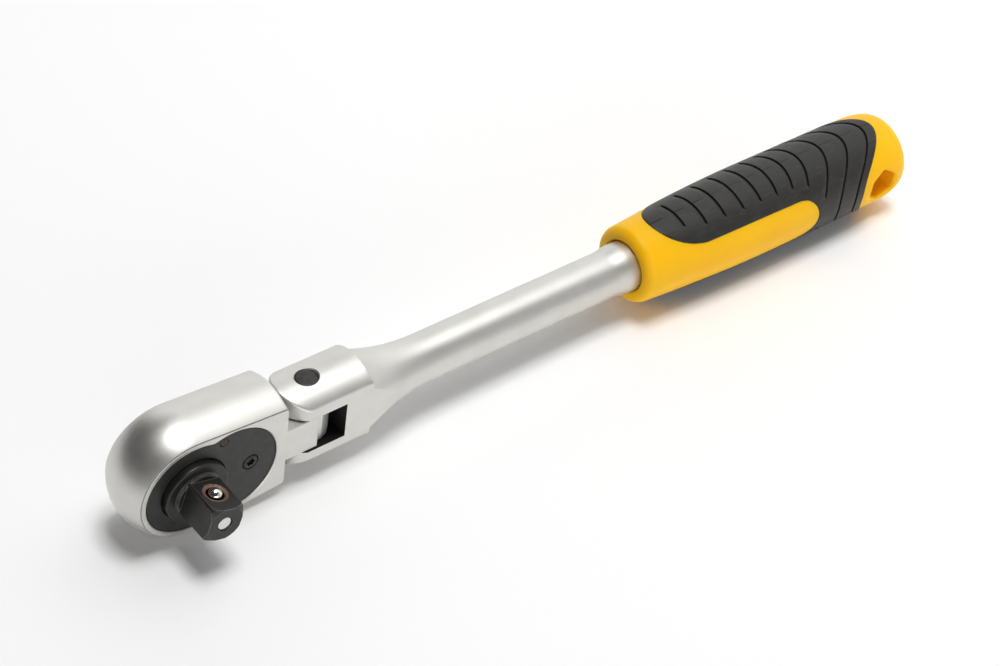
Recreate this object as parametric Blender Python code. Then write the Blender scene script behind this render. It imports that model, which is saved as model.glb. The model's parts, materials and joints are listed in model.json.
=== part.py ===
"""Flex head ratchet with a 3/8 inch square drive.

Metres, +Z up. The tool lies on its edge: the grip points to +X, the square drive to -Y, and the
hinge pin of the flex joint stands along Z. The world origin is under the middle of the tool's box.
"""

import math

import bmesh
import bpy

# Fits
SEAT_GAP = 0.0003
RUN_GAP = 0.0002

# Stations along the tool, measured from the hinge axis
DRIVE_DISTANCE = 0.0382
HEAD_REAR = 0.0110
GRIP_START = 0.1085
GRIP_LENGTH = 0.1025

# Head forging: outline radius and half height at the front face, and how far the wall is crowned
NOSE_RADIUS = 0.0150
REAR_HALF_HEIGHT = 0.0132
NOSE_SWELL = 0.0026
REAR_SWELL = 0.0025
HEAD_FRONT = 0.0082
HEAD_BACK = 0.0094
BACK_ROUND = 0.0025
BACK_LEAN = math.radians(37)
REAR_CORNER = 0.0008
BACK_WALL = 0.0054

# Tang and the faceted barrel round the hinge pin
TANG_HALF_HEIGHT = 0.0053
TANG_INSET = 0.0002
TANG_END = 0.0010
BARREL_RADIUS = 0.0065
BARREL_SIDES = 16

# Hinge pin, fork and shaft
PIN_RADIUS = 0.0030
PIN_SINK = 0.0004
FORK_RADIUS = 0.0094
FORK_HALF_WIDTH = 0.0084
FORK_CROWN = 0.0122
FORK_LENGTH = 0.0155
SLOT_WALL = 0.0073
NECK_START = 0.0110
NECK_LENGTH = 0.0230
NECK_CURVE = 2.2
SHAFT_RADIUS = 0.0067
SHAFT_GROWTH = 0.0001
FLARE_LENGTH = 0.0080
FLARE_RADIUS = 0.0074
SHAFT_IN_GRIP = 0.0800

# Index plunger in the fork
INDEX_RADIUS = 0.0024
INDEX_LENGTH = 0.0075
INDEX_SPRING_LENGTH = 0.0095
INDEX_WIRE = 0.0004
INDEX_TURNS = 6

# Cover plate of two joined circles, its screw and its locating pins
PLATE_RADIUS = 0.0134
PLATE_LOBE = 0.0108
PLATE_WAIST_FILLET = 0.0030
PLATE_THICKNESS = 0.0014
PLATE_SINK = 0.0003
SCREW_HEAD_RADIUS = 0.0023
SCREW_HEAD_HEIGHT = 0.0009
SCREW_RADIUS = 0.0012
SCREW_SOCKET = 0.0010
SCREW_SOCKET_DEPTH = 0.0006
DOWEL_RADIUS = 0.00115
DOWEL_ALONG = 0.0085
DOWEL_HEIGHT = 0.0112
DOWEL_DEPTH = 0.0030

# Drive gear and square
TEETH = 72
GEAR_TIP = 0.0105
TOOTH_DEPTH = 0.00045
TIP_SHARE = 0.10
ROOT_SHARE = 0.40
GEAR_POCKET = 0.0007
BOSS_RADIUS = 0.0090
BOSS_PROUD = 0.0017
NECK_RADIUS = 0.0063
NECK_HEIGHT = 0.0008
SQUARE = 0.00953
SQUARE_CORNER = 0.0064
SQUARE_REACH = 0.0137
SQUARE_CHAMFER = 0.0012
SQUARE_ROLL = math.radians(-15)
JOURNAL_RADIUS = 0.0065

# Quick release: plunger, button, ring, spring and ball
PLUNGER_RADIUS = 0.0019
PLUNGER_SINK = 0.0003
PLUNGER_STUB = 0.0014
BUTTON_FLANGE = 0.0044
BUTTON_RADIUS = 0.0037
BUTTON_PROUD = 0.0018
BUTTON_FLANGE_HEIGHT = 0.0030
BUTTON_ROUND = 0.0008
RING_THICKNESS = 0.0008
RING_GRIP = 0.0007
RING_COVER = 0.0013
RELEASE_TRAVEL = 0.0020
RELEASE_SPRING_LENGTH = 0.0059
RELEASE_WIRE = 0.00035
RELEASE_TURNS = 4
BALL_RADIUS = 0.0019
BALL_PROUD = 0.0012
BALL_FROM_END = 0.0065
BALL_RETRACT = 0.0009
BALL_DISH = 0.0003

# Reversing lever, pawl, clip and seal
LEVER_DISTANCE = 0.0167
LEVER_SHAFT = 0.0032
LEVER_DISC = 0.0058
LEVER_THICKNESS = 0.0021
LEVER_TAB_REACH = 0.0098
LEVER_TAB_END = 0.0024
LEVER_TAB_ROOT = 0.0046
LEVER_TAB_RISE = 0.0008
LEVER_SWING = math.radians(50)
PAWL_ROCK = math.radians(7.3)
PAWL_THICKNESS = 0.0039
PAWL_OUTER = 0.0140
PAWL_HUB = 0.0068
PAWL_END = math.radians(47)
PAWL_BARE = math.radians(30)
PAWL_WALL = 0.0046
PAWL_WALL_MEET = 0.00304
PAWL_WALL_HALF = 0.0038
TOOTH_CLEARANCE = 0.00015
LEVER_PLUNGER = 0.0011
LEVER_PLUNGER_LENGTH = 0.0035
LEVER_SPRING_LENGTH = 0.0026
LEVER_WIRE = 0.00015
LEVER_TURNS = 3
CLIP_THICKNESS = 0.0008
CLIP_RADIUS = 0.0044
CLIP_GROOVE = 0.0005
CLIP_MOUTH = math.radians(70)
SHAFT_LIP = 0.0004
SEAL_WIRE = 0.0004
SEAL_DEPTH = 0.0027

# Grip: core, soft sleeve and hanging hole
GRIP_FRONT_RADIUS = 0.0113
GRIP_BELLY_RADIUS = 0.0135
GRIP_BELLY = 0.0500
GRIP_REAR_RADIUS = 0.0134
COLLAR_ROUND = 0.0023
END_LENGTH = 0.0085
END_DROP = 0.0022
END_DOME = 0.0008
COLLAR_MOUTH = 0.0007
SLEEVE_THICKNESS = 0.0016
SLEEVE_PROUD = 0.0002
PAD_START = 0.0075
PAD_NOSE = 0.0170
PAD_HALF_ANGLE = math.radians(56)
WINDOW_LENGTH = 0.0572
SLEEVE_FROM_END = 0.0070
BAND_BOW = 0.0120
BOW_START = 0.0420
BOW_POWER = 2.4
RIB_DEPTH = 0.0007
RIB_RAMP = 0.0036
RIB_START = 0.0092
RIB_COUNT = 8
RIB_FIRST_ANGLE = math.radians(25)
RIB_ANGLE = math.radians(39)
LONG_RIB_ANGLE = math.radians(67)
TAIL_PITCH = 0.0090
BAND_TAIL = 0.0040
HANG_HOLE = 0.0054
HANG_HOLE_ROUND = 0.0012
HANG_HOLE_FROM_END = 0.0101

# Facets
ROUND_FACETS = 36
GRIP_FACETS = 44
SMALL_FACETS = 16
LEVER_FACETS = 28
SMOOTH_ANGLE = math.radians(35)


# Shape helpers

def arc(centre, radius, start, end, steps):
    """Points of a circular arc in a plane, both ends included."""
    points = []
    for i in range(steps + 1):
        angle = start + (end - start) * i / steps
        points.append((centre[0] + radius * math.cos(angle), centre[1] + radius * math.sin(angle)))
    return points


def circle(centre, radius, steps):
    return arc(centre, radius, 0, math.tau, steps)[:-1]


def place(axis, along, a, b):
    """A point from its distance along an axis and its place across it."""
    if axis == "X":
        return (along, a, b)
    if axis == "Y":
        return (a, along, b)
    return (a, b, along)


def empty(name, location, parent=None, turn=0.0):
    """A pivot: turn is the rest angle about Y."""
    pivot = bpy.data.objects.new(name, None)
    pivot.empty_display_size = 0.01
    pivot.location = location
    pivot.rotation_euler = (0, turn, 0)
    pivot.parent = parent
    bpy.context.scene.collection.objects.link(pivot)
    return pivot


def shape(name, work, parent):
    """An object from a bmesh, with its faces pointing out and its round faces smooth."""
    bmesh.ops.recalc_face_normals(work, faces=work.faces)
    mesh = bpy.data.meshes.new(name)
    work.to_mesh(mesh)
    work.free()
    mesh.shade_smooth()
    mesh.set_sharp_from_angle(angle=SMOOTH_ANGLE)
    made = bpy.data.objects.new(name, mesh)
    made.parent = parent
    bpy.context.scene.collection.objects.link(made)
    return made


def add_loft(work, rings, closed=False):
    """Skins rings of equal count. A closed loft joins the last ring to the first, an open one has caps."""
    rows = [[work.verts.new(point) for point in ring] for ring in rings]
    pairs = list(zip(rows, rows[1:]))
    if closed:
        pairs.append((rows[-1], rows[0]))
    else:
        work.faces.new(rows[0])
        work.faces.new(rows[-1])
    for low, high in pairs:
        for i in range(len(low)):
            following = (i + 1) % len(low)
            work.faces.new((low[i], low[following], high[following], high[i]))


def loft(name, rings, parent):
    work = bmesh.new()
    add_loft(work, rings)
    return shape(name, work, parent)


def prism(name, outline, low, high, parent, axis="Y"):
    """An outline across an axis, extruded along it."""
    return loft(name, [[place(axis, along, a, b) for a, b in outline] for along in (low, high)], parent)


def turned(name, profile, parent, axis="Y", facets=ROUND_FACETS, at=(0, 0), ring=False):
    """A profile of (along, radius) pairs turned about an axis. A ring's profile is closed, off the axis."""
    work = bmesh.new()
    rows = []
    for along, radius in profile:
        count = facets if radius > 0 else 1
        points = circle(at, radius, count)
        rows.append([work.verts.new(place(axis, along, a, b)) for a, b in points])
    pairs = list(zip(rows, rows[1:]))
    if ring:
        pairs.append((rows[-1], rows[0]))
    else:
        for row in (rows[0], rows[-1]):
            if len(row) > 1:
                work.faces.new(row)
    for low, high in pairs:
        for i in range(facets):
            following = (i + 1) % facets
            corners = [low[i % len(low)], low[following % len(low)]]
            corners += [high[following % len(high)], high[i % len(high)]]
            work.faces.new(list(dict.fromkeys(corners)))
    return shape(name, work, parent)


def rod(name, radius, low, high, parent, axis="Y", facets=ROUND_FACETS, at=(0, 0)):
    return turned(name, [(low, radius), (high, radius)], parent, axis, facets, at)


def combine(target, tool, operation):
    """Cuts or joins with a tool that is only drawn as a wire."""
    modifier = target.modifiers.new(tool.name, "BOOLEAN")
    modifier.operation = operation
    modifier.solver = "EXACT"
    modifier.object = tool
    tool.hide_render = True
    tool.display_type = "WIRE"


def cut(target, tool):
    combine(target, tool, "DIFFERENCE")


def join(target, tool):
    combine(target, tool, "UNION")


def keep_inside(target, tool):
    combine(target, tool, "INTERSECT")


def spring(name, radius, wire, turns, low, high, parent, axis):
    """A coil of round wire between two stations of an axis, as one tube. Prints its least gap to itself."""
    steps_per_turn = 10
    count = turns * steps_per_turn
    start = low + wire
    rise = (high - low - 2 * wire) / count
    points = []
    for i in range(count + 1):
        angle = math.tau * i / steps_per_turn
        points.append(place(axis, start + rise * i, radius * math.cos(angle), radius * math.sin(angle)))
    data = bpy.data.curves.new(name, "CURVE")
    data.dimensions = "3D"
    data.bevel_depth = wire
    data.bevel_resolution = 1
    data.use_fill_caps = True
    line = data.splines.new("POLY")
    line.points.add(count)
    for point, spot in zip(line.points, points):
        point.co = (*spot, 1)
    line.use_smooth = True
    coil = bpy.data.objects.new(name, data)
    coil.parent = parent
    bpy.context.scene.collection.objects.link(coil)
    gaps = [
        math.dist(points[i], points[j]) - 2 * wire
        for i in range(len(points))
        for j in range(i + steps_per_turn // 2, len(points))
    ]
    print(f"{name}: least gap to itself {min(gaps) * 1000:.2f} mm")
    return coil


def finish(piece, colour, roughness, metallic):
    """Gives a piece its own material."""
    look = bpy.data.materials.new(piece.name)
    look.use_nodes = True
    shader = look.node_tree.nodes["Principled BSDF"]
    shader.inputs["Base Color"].default_value = (*colour, 1)
    shader.inputs["Roughness"].default_value = roughness
    shader.inputs["Metallic"].default_value = metallic
    piece.data.materials.append(look)


def satin_chrome(piece):
    finish(piece, (0.78, 0.78, 0.77), 0.38, 1.0)


def black_oxide(piece):
    finish(piece, (0.035, 0.034, 0.033), 0.42, 0.6)


def bright_steel(piece):
    finish(piece, (0.70, 0.69, 0.67), 0.22, 1.0)


def spring_steel(piece):
    finish(piece, (0.42, 0.41, 0.40), 0.35, 1.0)


# Levels across the head, from its drive side (-Y) to its back (+Y)

FRONT_FACE = -HEAD_FRONT
PLATE_FRONT = FRONT_FACE + PLATE_SINK
PLATE_BACK = PLATE_FRONT + PLATE_THICKNESS
LEDGE = PLATE_BACK + SEAT_GAP
POCKET_FLOOR = HEAD_BACK - BACK_WALL
GEAR_FRONT = LEDGE
GEAR_BACK = POCKET_FLOOR - SEAT_GAP
BOSS_END = FRONT_FACE - BOSS_PROUD
SQUARE_START = BOSS_END - NECK_HEIGHT
SQUARE_END = FRONT_FACE - SQUARE_REACH
JOURNAL_END = HEAD_BACK - SEAT_GAP
PAWL_BACK = POCKET_FLOOR - SEAT_GAP
PAWL_FRONT = PAWL_BACK - PAWL_THICKNESS
CLIP_BACK = PAWL_FRONT - SEAT_GAP
CLIP_FRONT = CLIP_BACK - CLIP_THICKNESS
LEVER_SHAFT_END = CLIP_FRONT - SHAFT_LIP
PAWL_POCKET_FRONT = LEVER_SHAFT_END - SEAT_GAP
LEVER_UNDER = HEAD_BACK + SEAT_GAP
LEVER_TOP = LEVER_UNDER + LEVER_THICKNESS
RING_BACK = JOURNAL_END - RING_COVER
RING_FRONT = RING_BACK - RING_THICKNESS
BUTTON_SHOULDER = RING_FRONT - RUN_GAP
BUTTON_UNDER = BUTTON_SHOULDER - BUTTON_FLANGE_HEIGHT
BUTTON_TOP = HEAD_BACK + BUTTON_PROUD
SPRING_SEAT = BUTTON_UNDER - 2 * SEAT_GAP - RELEASE_SPRING_LENGTH
BALL_LEVEL = SQUARE_END + BALL_FROM_END
BALL_REST = SQUARE / 2 + BALL_PROUD - BALL_RADIUS
BALL_ANGLE = SQUARE_ROLL + math.pi / 2

# Levels along the grip, from the hinge axis
GRIP_END = GRIP_START + GRIP_LENGTH
SHAFT_END = GRIP_START + SHAFT_IN_GRIP
SLEEVE_START = GRIP_START + PAD_START
SLEEVE_END = GRIP_END - SLEEVE_FROM_END
REAR_BAND = SLEEVE_END - BAND_TAIL
FRONT_BAND = REAR_BAND - TAIL_PITCH
LONG_RIB = FRONT_BAND - TAIL_PITCH
FIRST_RIB = SLEEVE_START + RIB_START
LAST_RIB = LONG_RIB - TAIL_PITCH


# Head outline

def head_ring(depth, nose, half_height):
    """The head's outline at one depth: a nose arc, sides tangent to it and a flat rear with eased corners."""
    back = DRIVE_DISTANCE - HEAD_REAR
    reach = math.hypot(back, half_height)
    touch = math.atan2(half_height, back) + math.acos(nose / reach)
    half = [(-HEAD_REAR, half_height - REAR_CORNER), (-HEAD_REAR - REAR_CORNER, half_height)]
    half += arc((-DRIVE_DISTANCE, 0), nose, touch, math.pi, 14)
    lower = [(x, -z) for x, z in reversed(half[:-1])]
    return [(x, depth, z) for x, z in half + lower]


def head_rings():
    """The crowned wall from the crisp front edge to the rounded back edge."""
    levels = 8
    wall_end = HEAD_BACK - BACK_ROUND * (1 - math.sin(BACK_LEAN))
    middle = (FRONT_FACE + wall_end) / 2
    half_depth = (wall_end - FRONT_FACE) / 2
    rings = []
    for i in range(levels + 1):
        across = 2 * i / levels - 1
        swell = 1 - across ** 2
        depth = middle + half_depth * across
        nose = NOSE_RADIUS + NOSE_SWELL * swell
        rings.append(head_ring(depth, nose, REAR_HALF_HEIGHT + REAR_SWELL * swell))
    steps = 3
    for i in range(1, steps + 1):
        angle = BACK_LEAN + (math.pi / 2 - BACK_LEAN) * i / steps
        depth = wall_end + BACK_ROUND * (math.sin(angle) - math.sin(BACK_LEAN))
        drop = BACK_ROUND * (math.cos(BACK_LEAN) - math.cos(angle))
        rings.append(head_ring(depth, NOSE_RADIUS - drop, REAR_HALF_HEIGHT - drop))
    return rings


def plate_outline(radius):
    """Two equal circles joined by a filleted waist, about the drive axis at the origin."""
    fillet_height = math.sqrt((radius + PLATE_WAIST_FILLET) ** 2 - (PLATE_LOBE / 2) ** 2)
    lean = math.atan2(fillet_height, PLATE_LOBE / 2)
    half = arc((PLATE_LOBE, 0), radius, 0, math.pi - lean, 14)
    waist = arc((PLATE_LOBE / 2, fillet_height), PLATE_WAIST_FILLET, -lean, lean - math.pi, 6)
    half += waist[1:-1]
    half += arc((0, 0), radius, lean, math.pi, 14)
    return half + [(x, -z) for x, z in reversed(half[1:-1])]


def gear_outline(grow, centre):
    """Straight-flanked teeth: a flat root, a flank, a flat tip and a flank on each pitch."""
    pitch = math.tau / TEETH
    tip = GEAR_TIP + grow
    root = tip - TOOTH_DEPTH
    points = []
    for tooth in range(TEETH):
        for share, radius in ((-ROOT_SHARE, root), (-TIP_SHARE, tip), (TIP_SHARE, tip), (ROOT_SHARE, root)):
            angle = (tooth + share) * pitch
            points.append((centre + radius * math.cos(angle), radius * math.sin(angle)))
    return points


def pawl_outline(grow, inner):
    """A crescent round the gear that widens into a hub round the lever's axis, which is the origin."""
    outer = PAWL_OUTER + grow
    hub = PAWL_HUB + grow
    gear = (-LEVER_DISTANCE, 0)
    end = PAWL_END + grow / PAWL_OUTER
    from_gear = math.acos((outer ** 2 + LEVER_DISTANCE ** 2 - hub ** 2) / (2 * outer * LEVER_DISTANCE))
    from_hub = math.acos((hub ** 2 + LEVER_DISTANCE ** 2 - outer ** 2) / (2 * hub * LEVER_DISTANCE))
    half = arc((0, 0), hub, 0, math.pi - from_hub, 10)
    half += arc(gear, outer, from_gear, end, 6)[1:]
    half += arc(gear, inner, end, 0, 8)
    return half + [(x, -z) for x, z in reversed(half[1:-1])]


# Grip surfaces

def grip_radius(x):
    """Outer radius of the grip: a rounded collar, a swell to the belly, a slight taper and a blunt end."""
    swell = math.sin(math.pi / 2 * min(1, (x - GRIP_START) / GRIP_BELLY))
    radius = GRIP_FRONT_RADIUS + (GRIP_BELLY_RADIUS - GRIP_FRONT_RADIUS) * swell
    taper = max(0, x - GRIP_START - GRIP_BELLY) / (GRIP_LENGTH - GRIP_BELLY)
    radius -= (GRIP_BELLY_RADIUS - GRIP_REAR_RADIUS) * taper ** 2
    before = COLLAR_ROUND - (x - GRIP_START)
    if before > 0:
        radius -= COLLAR_ROUND - math.sqrt(max(0, COLLAR_ROUND ** 2 - before ** 2))
    past = (x - (GRIP_END - END_LENGTH)) / END_LENGTH
    if past > 0:
        radius -= END_DROP * (1 - math.sqrt(max(0, 1 - past ** 2)))
    return radius


def grip_stations(low, high, count):
    """Stations between two ends of the grip, closer together towards both."""
    return [low + (high - low) * (1 - math.cos(math.pi * i / count)) / 2 for i in range(count + 1)]


def bowed(crest, angle):
    """Station of a groove or edge at an angle from the crest. Near the end, it bows forward at the sides."""
    start = GRIP_START + BOW_START
    bow = BAND_BOW * max(0, crest - start) / (SLEEVE_END - start)
    return crest - bow * (1 - abs(math.cos(angle)) ** BOW_POWER)


def window_outline(grow):
    """Side view of all that lies ahead of the pads and between them. The pads grow by a margin into it."""
    radius = grip_radius(GRIP_START + GRIP_LENGTH / 2)
    beyond = 2 * radius
    pad_half = PAD_HALF_ANGLE + grow / radius
    nose = PAD_NOSE + grow
    nose_end = SLEEVE_START + PAD_NOSE
    half_width = radius * math.cos(pad_half)
    half = [(GRIP_START - beyond, beyond), (nose_end - nose, beyond)]
    for i in range(9):
        step = math.pi / 2 * i / 8
        x = nose_end - nose * math.cos(step)
        half.append((x, grip_radius(x) * math.cos(pad_half * math.sin(step))))
    half += arc((GRIP_START + WINDOW_LENGTH, 0), half_width, math.pi / 2, 0, 8)
    return half + [(x, -z) for x, z in reversed(half[:-1])]


def behind_outline(grow):
    """Side view of all that lies behind the sleeve's bowed rear edge."""
    radius = grip_radius(GRIP_END - END_LENGTH)
    far = GRIP_END + radius
    points = [(far, 2 * radius), (SLEEVE_END + grow, 2 * radius)]
    for i in range(21):
        angle = math.pi * i / 20
        points.append((bowed(SLEEVE_END, angle) + grow, radius * math.cos(angle)))
    points += [(SLEEVE_END + grow, -2 * radius), (far, -2 * radius)]
    return points


def rib_ring(crest, angle):
    """Section of a groove at an angle from the crest: a ramp down that ends at a wall."""
    wall = bowed(crest, angle)
    over = 2 * RIB_DEPTH
    ring = []
    for along, height in ((-RIB_RAMP, RIB_DEPTH / 4), (0, -RIB_DEPTH), (0, over), (-RIB_RAMP, over)):
        radius = grip_radius(wall) + SLEEVE_PROUD + height
        ring.append((wall + along, -radius * math.sin(angle), radius * math.cos(angle)))
    return ring


def rib_grooves(parent):
    """Every groove of the sleeve as one cutter: short ones on both pads, and two that run right round."""
    work = bmesh.new()
    pitch = (LAST_RIB - FIRST_RIB) / (RIB_COUNT - 1)
    crests = [(FIRST_RIB, RIB_FIRST_ANGLE)]
    crests += [(FIRST_RIB + pitch * i, RIB_ANGLE) for i in range(1, RIB_COUNT)]
    crests.append((LONG_RIB, LONG_RIB_ANGLE))
    steps = 7
    for crest, reach in crests:
        for side in (0, math.pi):
            angles = [side - reach + 2 * reach * i / steps for i in range(steps + 1)]
            add_loft(work, [rib_ring(crest, angle) for angle in angles])
    for crest in (FRONT_BAND, REAR_BAND):
        angles = [math.tau * (i + 0.5) / GRIP_FACETS for i in range(GRIP_FACETS)]
        add_loft(work, [rib_ring(crest, angle) for angle in angles], closed=True)
    bmesh.ops.triangulate(work, faces=work.faces)
    return shape("rib_grooves", work, parent)


def sleeve_band(name, under, over, grow, parent):
    """A tube along the grip's surface, cut to the outline of the pads and their band."""
    past = grow + SLEEVE_THICKNESS
    stations = grip_stations(SLEEVE_START - past, SLEEVE_END + past, 9)
    profile = [(x, grip_radius(x) + over) for x in stations]
    profile += [(x, grip_radius(x) - under) for x in reversed(stations)]
    band = turned(name, profile, parent, "X", GRIP_FACETS, ring=True)
    reach = 2 * GRIP_REAR_RADIUS
    cut(band, prism(name + "_window", window_outline(grow), -reach, reach, parent))
    cut(band, prism(name + "_behind", behind_outline(grow), -reach, reach, parent))
    return band


# Handle

def make_handle(root):
    shaft = make_shaft(root)
    pin_length = FORK_CROWN - PIN_SINK
    pin = rod("hinge_pin", PIN_RADIUS, -pin_length, pin_length, root, "Z", SMALL_FACETS)
    finish(pin, (0.10, 0.09, 0.085), 0.35, 1.0)
    satin_chrome(shaft)
    make_index(root)
    make_grip(root)


def make_shaft(root):
    neck_end = FORK_LENGTH + NECK_LENGTH
    flare_start = GRIP_START - FLARE_LENGTH
    profile = [(-FORK_CROWN, 0), (-FORK_CROWN, FORK_CROWN), (FORK_LENGTH, FORK_CROWN)]
    steps = 10
    for i in range(steps + 1):
        along = i / steps
        radius = SHAFT_RADIUS + (NECK_START - SHAFT_RADIUS) * (1 - along) ** NECK_CURVE
        profile.append((FORK_LENGTH + SEAT_GAP + (NECK_LENGTH - SEAT_GAP) * along, radius))
    profile.append(((neck_end + flare_start) / 2, SHAFT_RADIUS + SHAFT_GROWTH / 2))
    profile.append((flare_start, SHAFT_RADIUS + SHAFT_GROWTH))
    profile.append((GRIP_START - FLARE_LENGTH / 4, FLARE_RADIUS))
    profile += [(SHAFT_END, FLARE_RADIUS), (SHAFT_END, 0)]
    shaft = turned("handle_shaft", profile, root, "X")

    # The fork's plan: ears rounded about the pin, flat sides, and room for the neck behind them
    meet = math.acos(FORK_HALF_WIDTH / FORK_RADIUS)
    side_end = FORK_LENGTH + NECK_LENGTH
    wide = 2 * FORK_CROWN
    side = [(SHAFT_END + FORK_CROWN, wide), (side_end, wide), (side_end, FORK_HALF_WIDTH)]
    front = arc((0, 0), FORK_RADIUS, math.pi / 2 + meet, 3 * math.pi / 2 - meet, 23)
    plan = side + front + [(x, -y) for x, y in reversed(side)]
    keep_inside(shaft, prism("fork_plan", plan, -wide, wide, root, "Z"))

    slot = TANG_HALF_HEIGHT + RUN_GAP
    corners = [(-wide, -wide), (SLOT_WALL, -wide), (SLOT_WALL, wide), (-wide, wide)]
    cut(shaft, prism("fork_slot", corners, -slot, slot, root, "Z"))
    cut(shaft, rod("fork_pin_bore", PIN_RADIUS + SEAT_GAP, -wide, wide, root, "Z", SMALL_FACETS))
    bore_end = BARREL_RADIUS + RUN_GAP + INDEX_LENGTH + INDEX_SPRING_LENGTH + 2 * SEAT_GAP
    bore = INDEX_RADIUS + RUN_GAP
    cut(shaft, rod("index_bore", bore, SLOT_WALL / 2, bore_end, root, "X", SMALL_FACETS))
    return shaft


def make_index(root):
    """The sprung plunger that bears on the flats of the barrel."""
    face = BARREL_RADIUS + RUN_GAP
    end = face + INDEX_LENGTH
    plunger = rod("index_plunger", INDEX_RADIUS, face, end, root, "X", SMALL_FACETS)
    spring_steel(plunger)
    coil_radius = INDEX_RADIUS - 2 * INDEX_WIRE
    start = end + SEAT_GAP
    stop = start + INDEX_SPRING_LENGTH
    coil = spring("index_spring", coil_radius, INDEX_WIRE, INDEX_TURNS, start, stop, root, "X")
    spring_steel(coil)


def make_grip(root):
    stations = grip_stations(GRIP_START, GRIP_END, 18)
    profile = [(GRIP_START, 0)]
    profile += [(x, grip_radius(x)) for x in stations]
    profile.append((GRIP_END + END_DOME, 0))
    core = turned("grip_core", profile, root, "X", GRIP_FACETS)
    bore = FLARE_RADIUS + SEAT_GAP
    mouth = [(GRIP_START - COLLAR_MOUTH, 0), (GRIP_START - COLLAR_MOUTH, bore + 2 * COLLAR_MOUTH)]
    mouth += [(GRIP_START + COLLAR_MOUTH, bore), (SHAFT_END + SEAT_GAP, bore), (SHAFT_END + SEAT_GAP, 0)]
    cut(core, turned("grip_bore", mouth, root, "X"))
    over = 2 * SLEEVE_THICKNESS
    cut(core, sleeve_band("sleeve_recess", SLEEVE_THICKNESS + SEAT_GAP, over, SEAT_GAP, root))

    # A six-sided hanging hole with rounded corners
    corner = HANG_HOLE - HANG_HOLE_ROUND / math.cos(math.pi / 6)
    outline = []
    for side in range(6):
        lean = math.pi / 2 + side * math.pi / 3
        centre = (GRIP_END - HANG_HOLE_FROM_END + corner * math.cos(lean), corner * math.sin(lean))
        outline += arc(centre, HANG_HOLE_ROUND, lean - math.pi / 6, lean + math.pi / 6, 3)
    cut(core, prism("hanging_hole", outline, -2 * GRIP_REAR_RADIUS, 2 * GRIP_REAR_RADIUS, root))
    finish(core, (0.96, 0.55, 0.012), 0.38, 0.0)

    sleeve = sleeve_band("grip_sleeve", SLEEVE_THICKNESS, SLEEVE_PROUD, 0.0, root)
    cut(sleeve, rib_grooves(root))
    finish(sleeve, (0.030, 0.029, 0.028), 0.62, 0.0)


# Head

def make_head(head, drive, lever):
    housing = loft("head_housing", head_rings(), head)
    join(housing, make_tang(head))
    recess = plate_outline(PLATE_RADIUS + RUN_GAP)
    above = FRONT_FACE - PLATE_THICKNESS
    cut(housing, prism("plate_recess", recess, above, LEDGE, drive))
    cut(housing, rod("gear_pocket", GEAR_TIP + GEAR_POCKET, above, POCKET_FLOOR, drive))
    through = HEAD_BACK + BACK_WALL
    inside = POCKET_FLOOR - SEAT_GAP
    cut(housing, rod("journal_bore", JOURNAL_RADIUS + RUN_GAP, inside, through, drive))
    swing = math.hypot(PAWL_OUTER * math.cos(PAWL_END) - LEVER_DISTANCE, PAWL_OUTER * math.sin(PAWL_END))
    margin = swing * math.sin(PAWL_ROCK / 2) + SEAT_GAP
    pocket = pawl_outline(margin, GEAR_TIP)
    cut(housing, prism("pawl_pocket", pocket, PAWL_POCKET_FRONT, POCKET_FLOOR, lever))
    cut(housing, rod("lever_bore", LEVER_SHAFT + RUN_GAP, inside, through, lever))
    screw_end = PAWL_POCKET_FRONT + SEAT_GAP
    cut(housing, rod("screw_bore", SCREW_RADIUS + RUN_GAP, above, screw_end, lever, facets=SMALL_FACETS))
    for name, height in (("upper", DOWEL_HEIGHT), ("lower", -DOWEL_HEIGHT)):
        end = LEDGE + DOWEL_DEPTH + SEAT_GAP
        place_at = (DOWEL_ALONG, height)
        radius = DOWEL_RADIUS + RUN_GAP
        cut(housing, rod("dowel_bore_" + name, radius, above, end, drive, facets=SMALL_FACETS, at=place_at))
    satin_chrome(housing)
    make_cover(drive, lever)


def make_tang(head):
    """The flat tang and the faceted barrel that turns on the hinge pin."""
    near = HEAD_FRONT - TANG_INSET
    root_end = HEAD_REAR + REAR_CORNER * 2
    corners = [(-root_end, -near), (-TANG_END, -near), (-TANG_END, near), (-root_end, near)]
    tang = prism("tang", corners, -TANG_HALF_HEIGHT, TANG_HALF_HEIGHT, head, "Z")
    half_flat = math.pi / BARREL_SIDES
    barrel = arc((0, 0), BARREL_RADIUS, half_flat, half_flat + math.tau, BARREL_SIDES)[:-1]
    join(tang, prism("barrel", barrel, -TANG_HALF_HEIGHT, TANG_HALF_HEIGHT, head, "Z"))
    reach = 2 * TANG_HALF_HEIGHT
    cut(tang, rod("barrel_bore", PIN_RADIUS + RUN_GAP, -reach, reach, head, "Z", SMALL_FACETS))
    return tang


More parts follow.
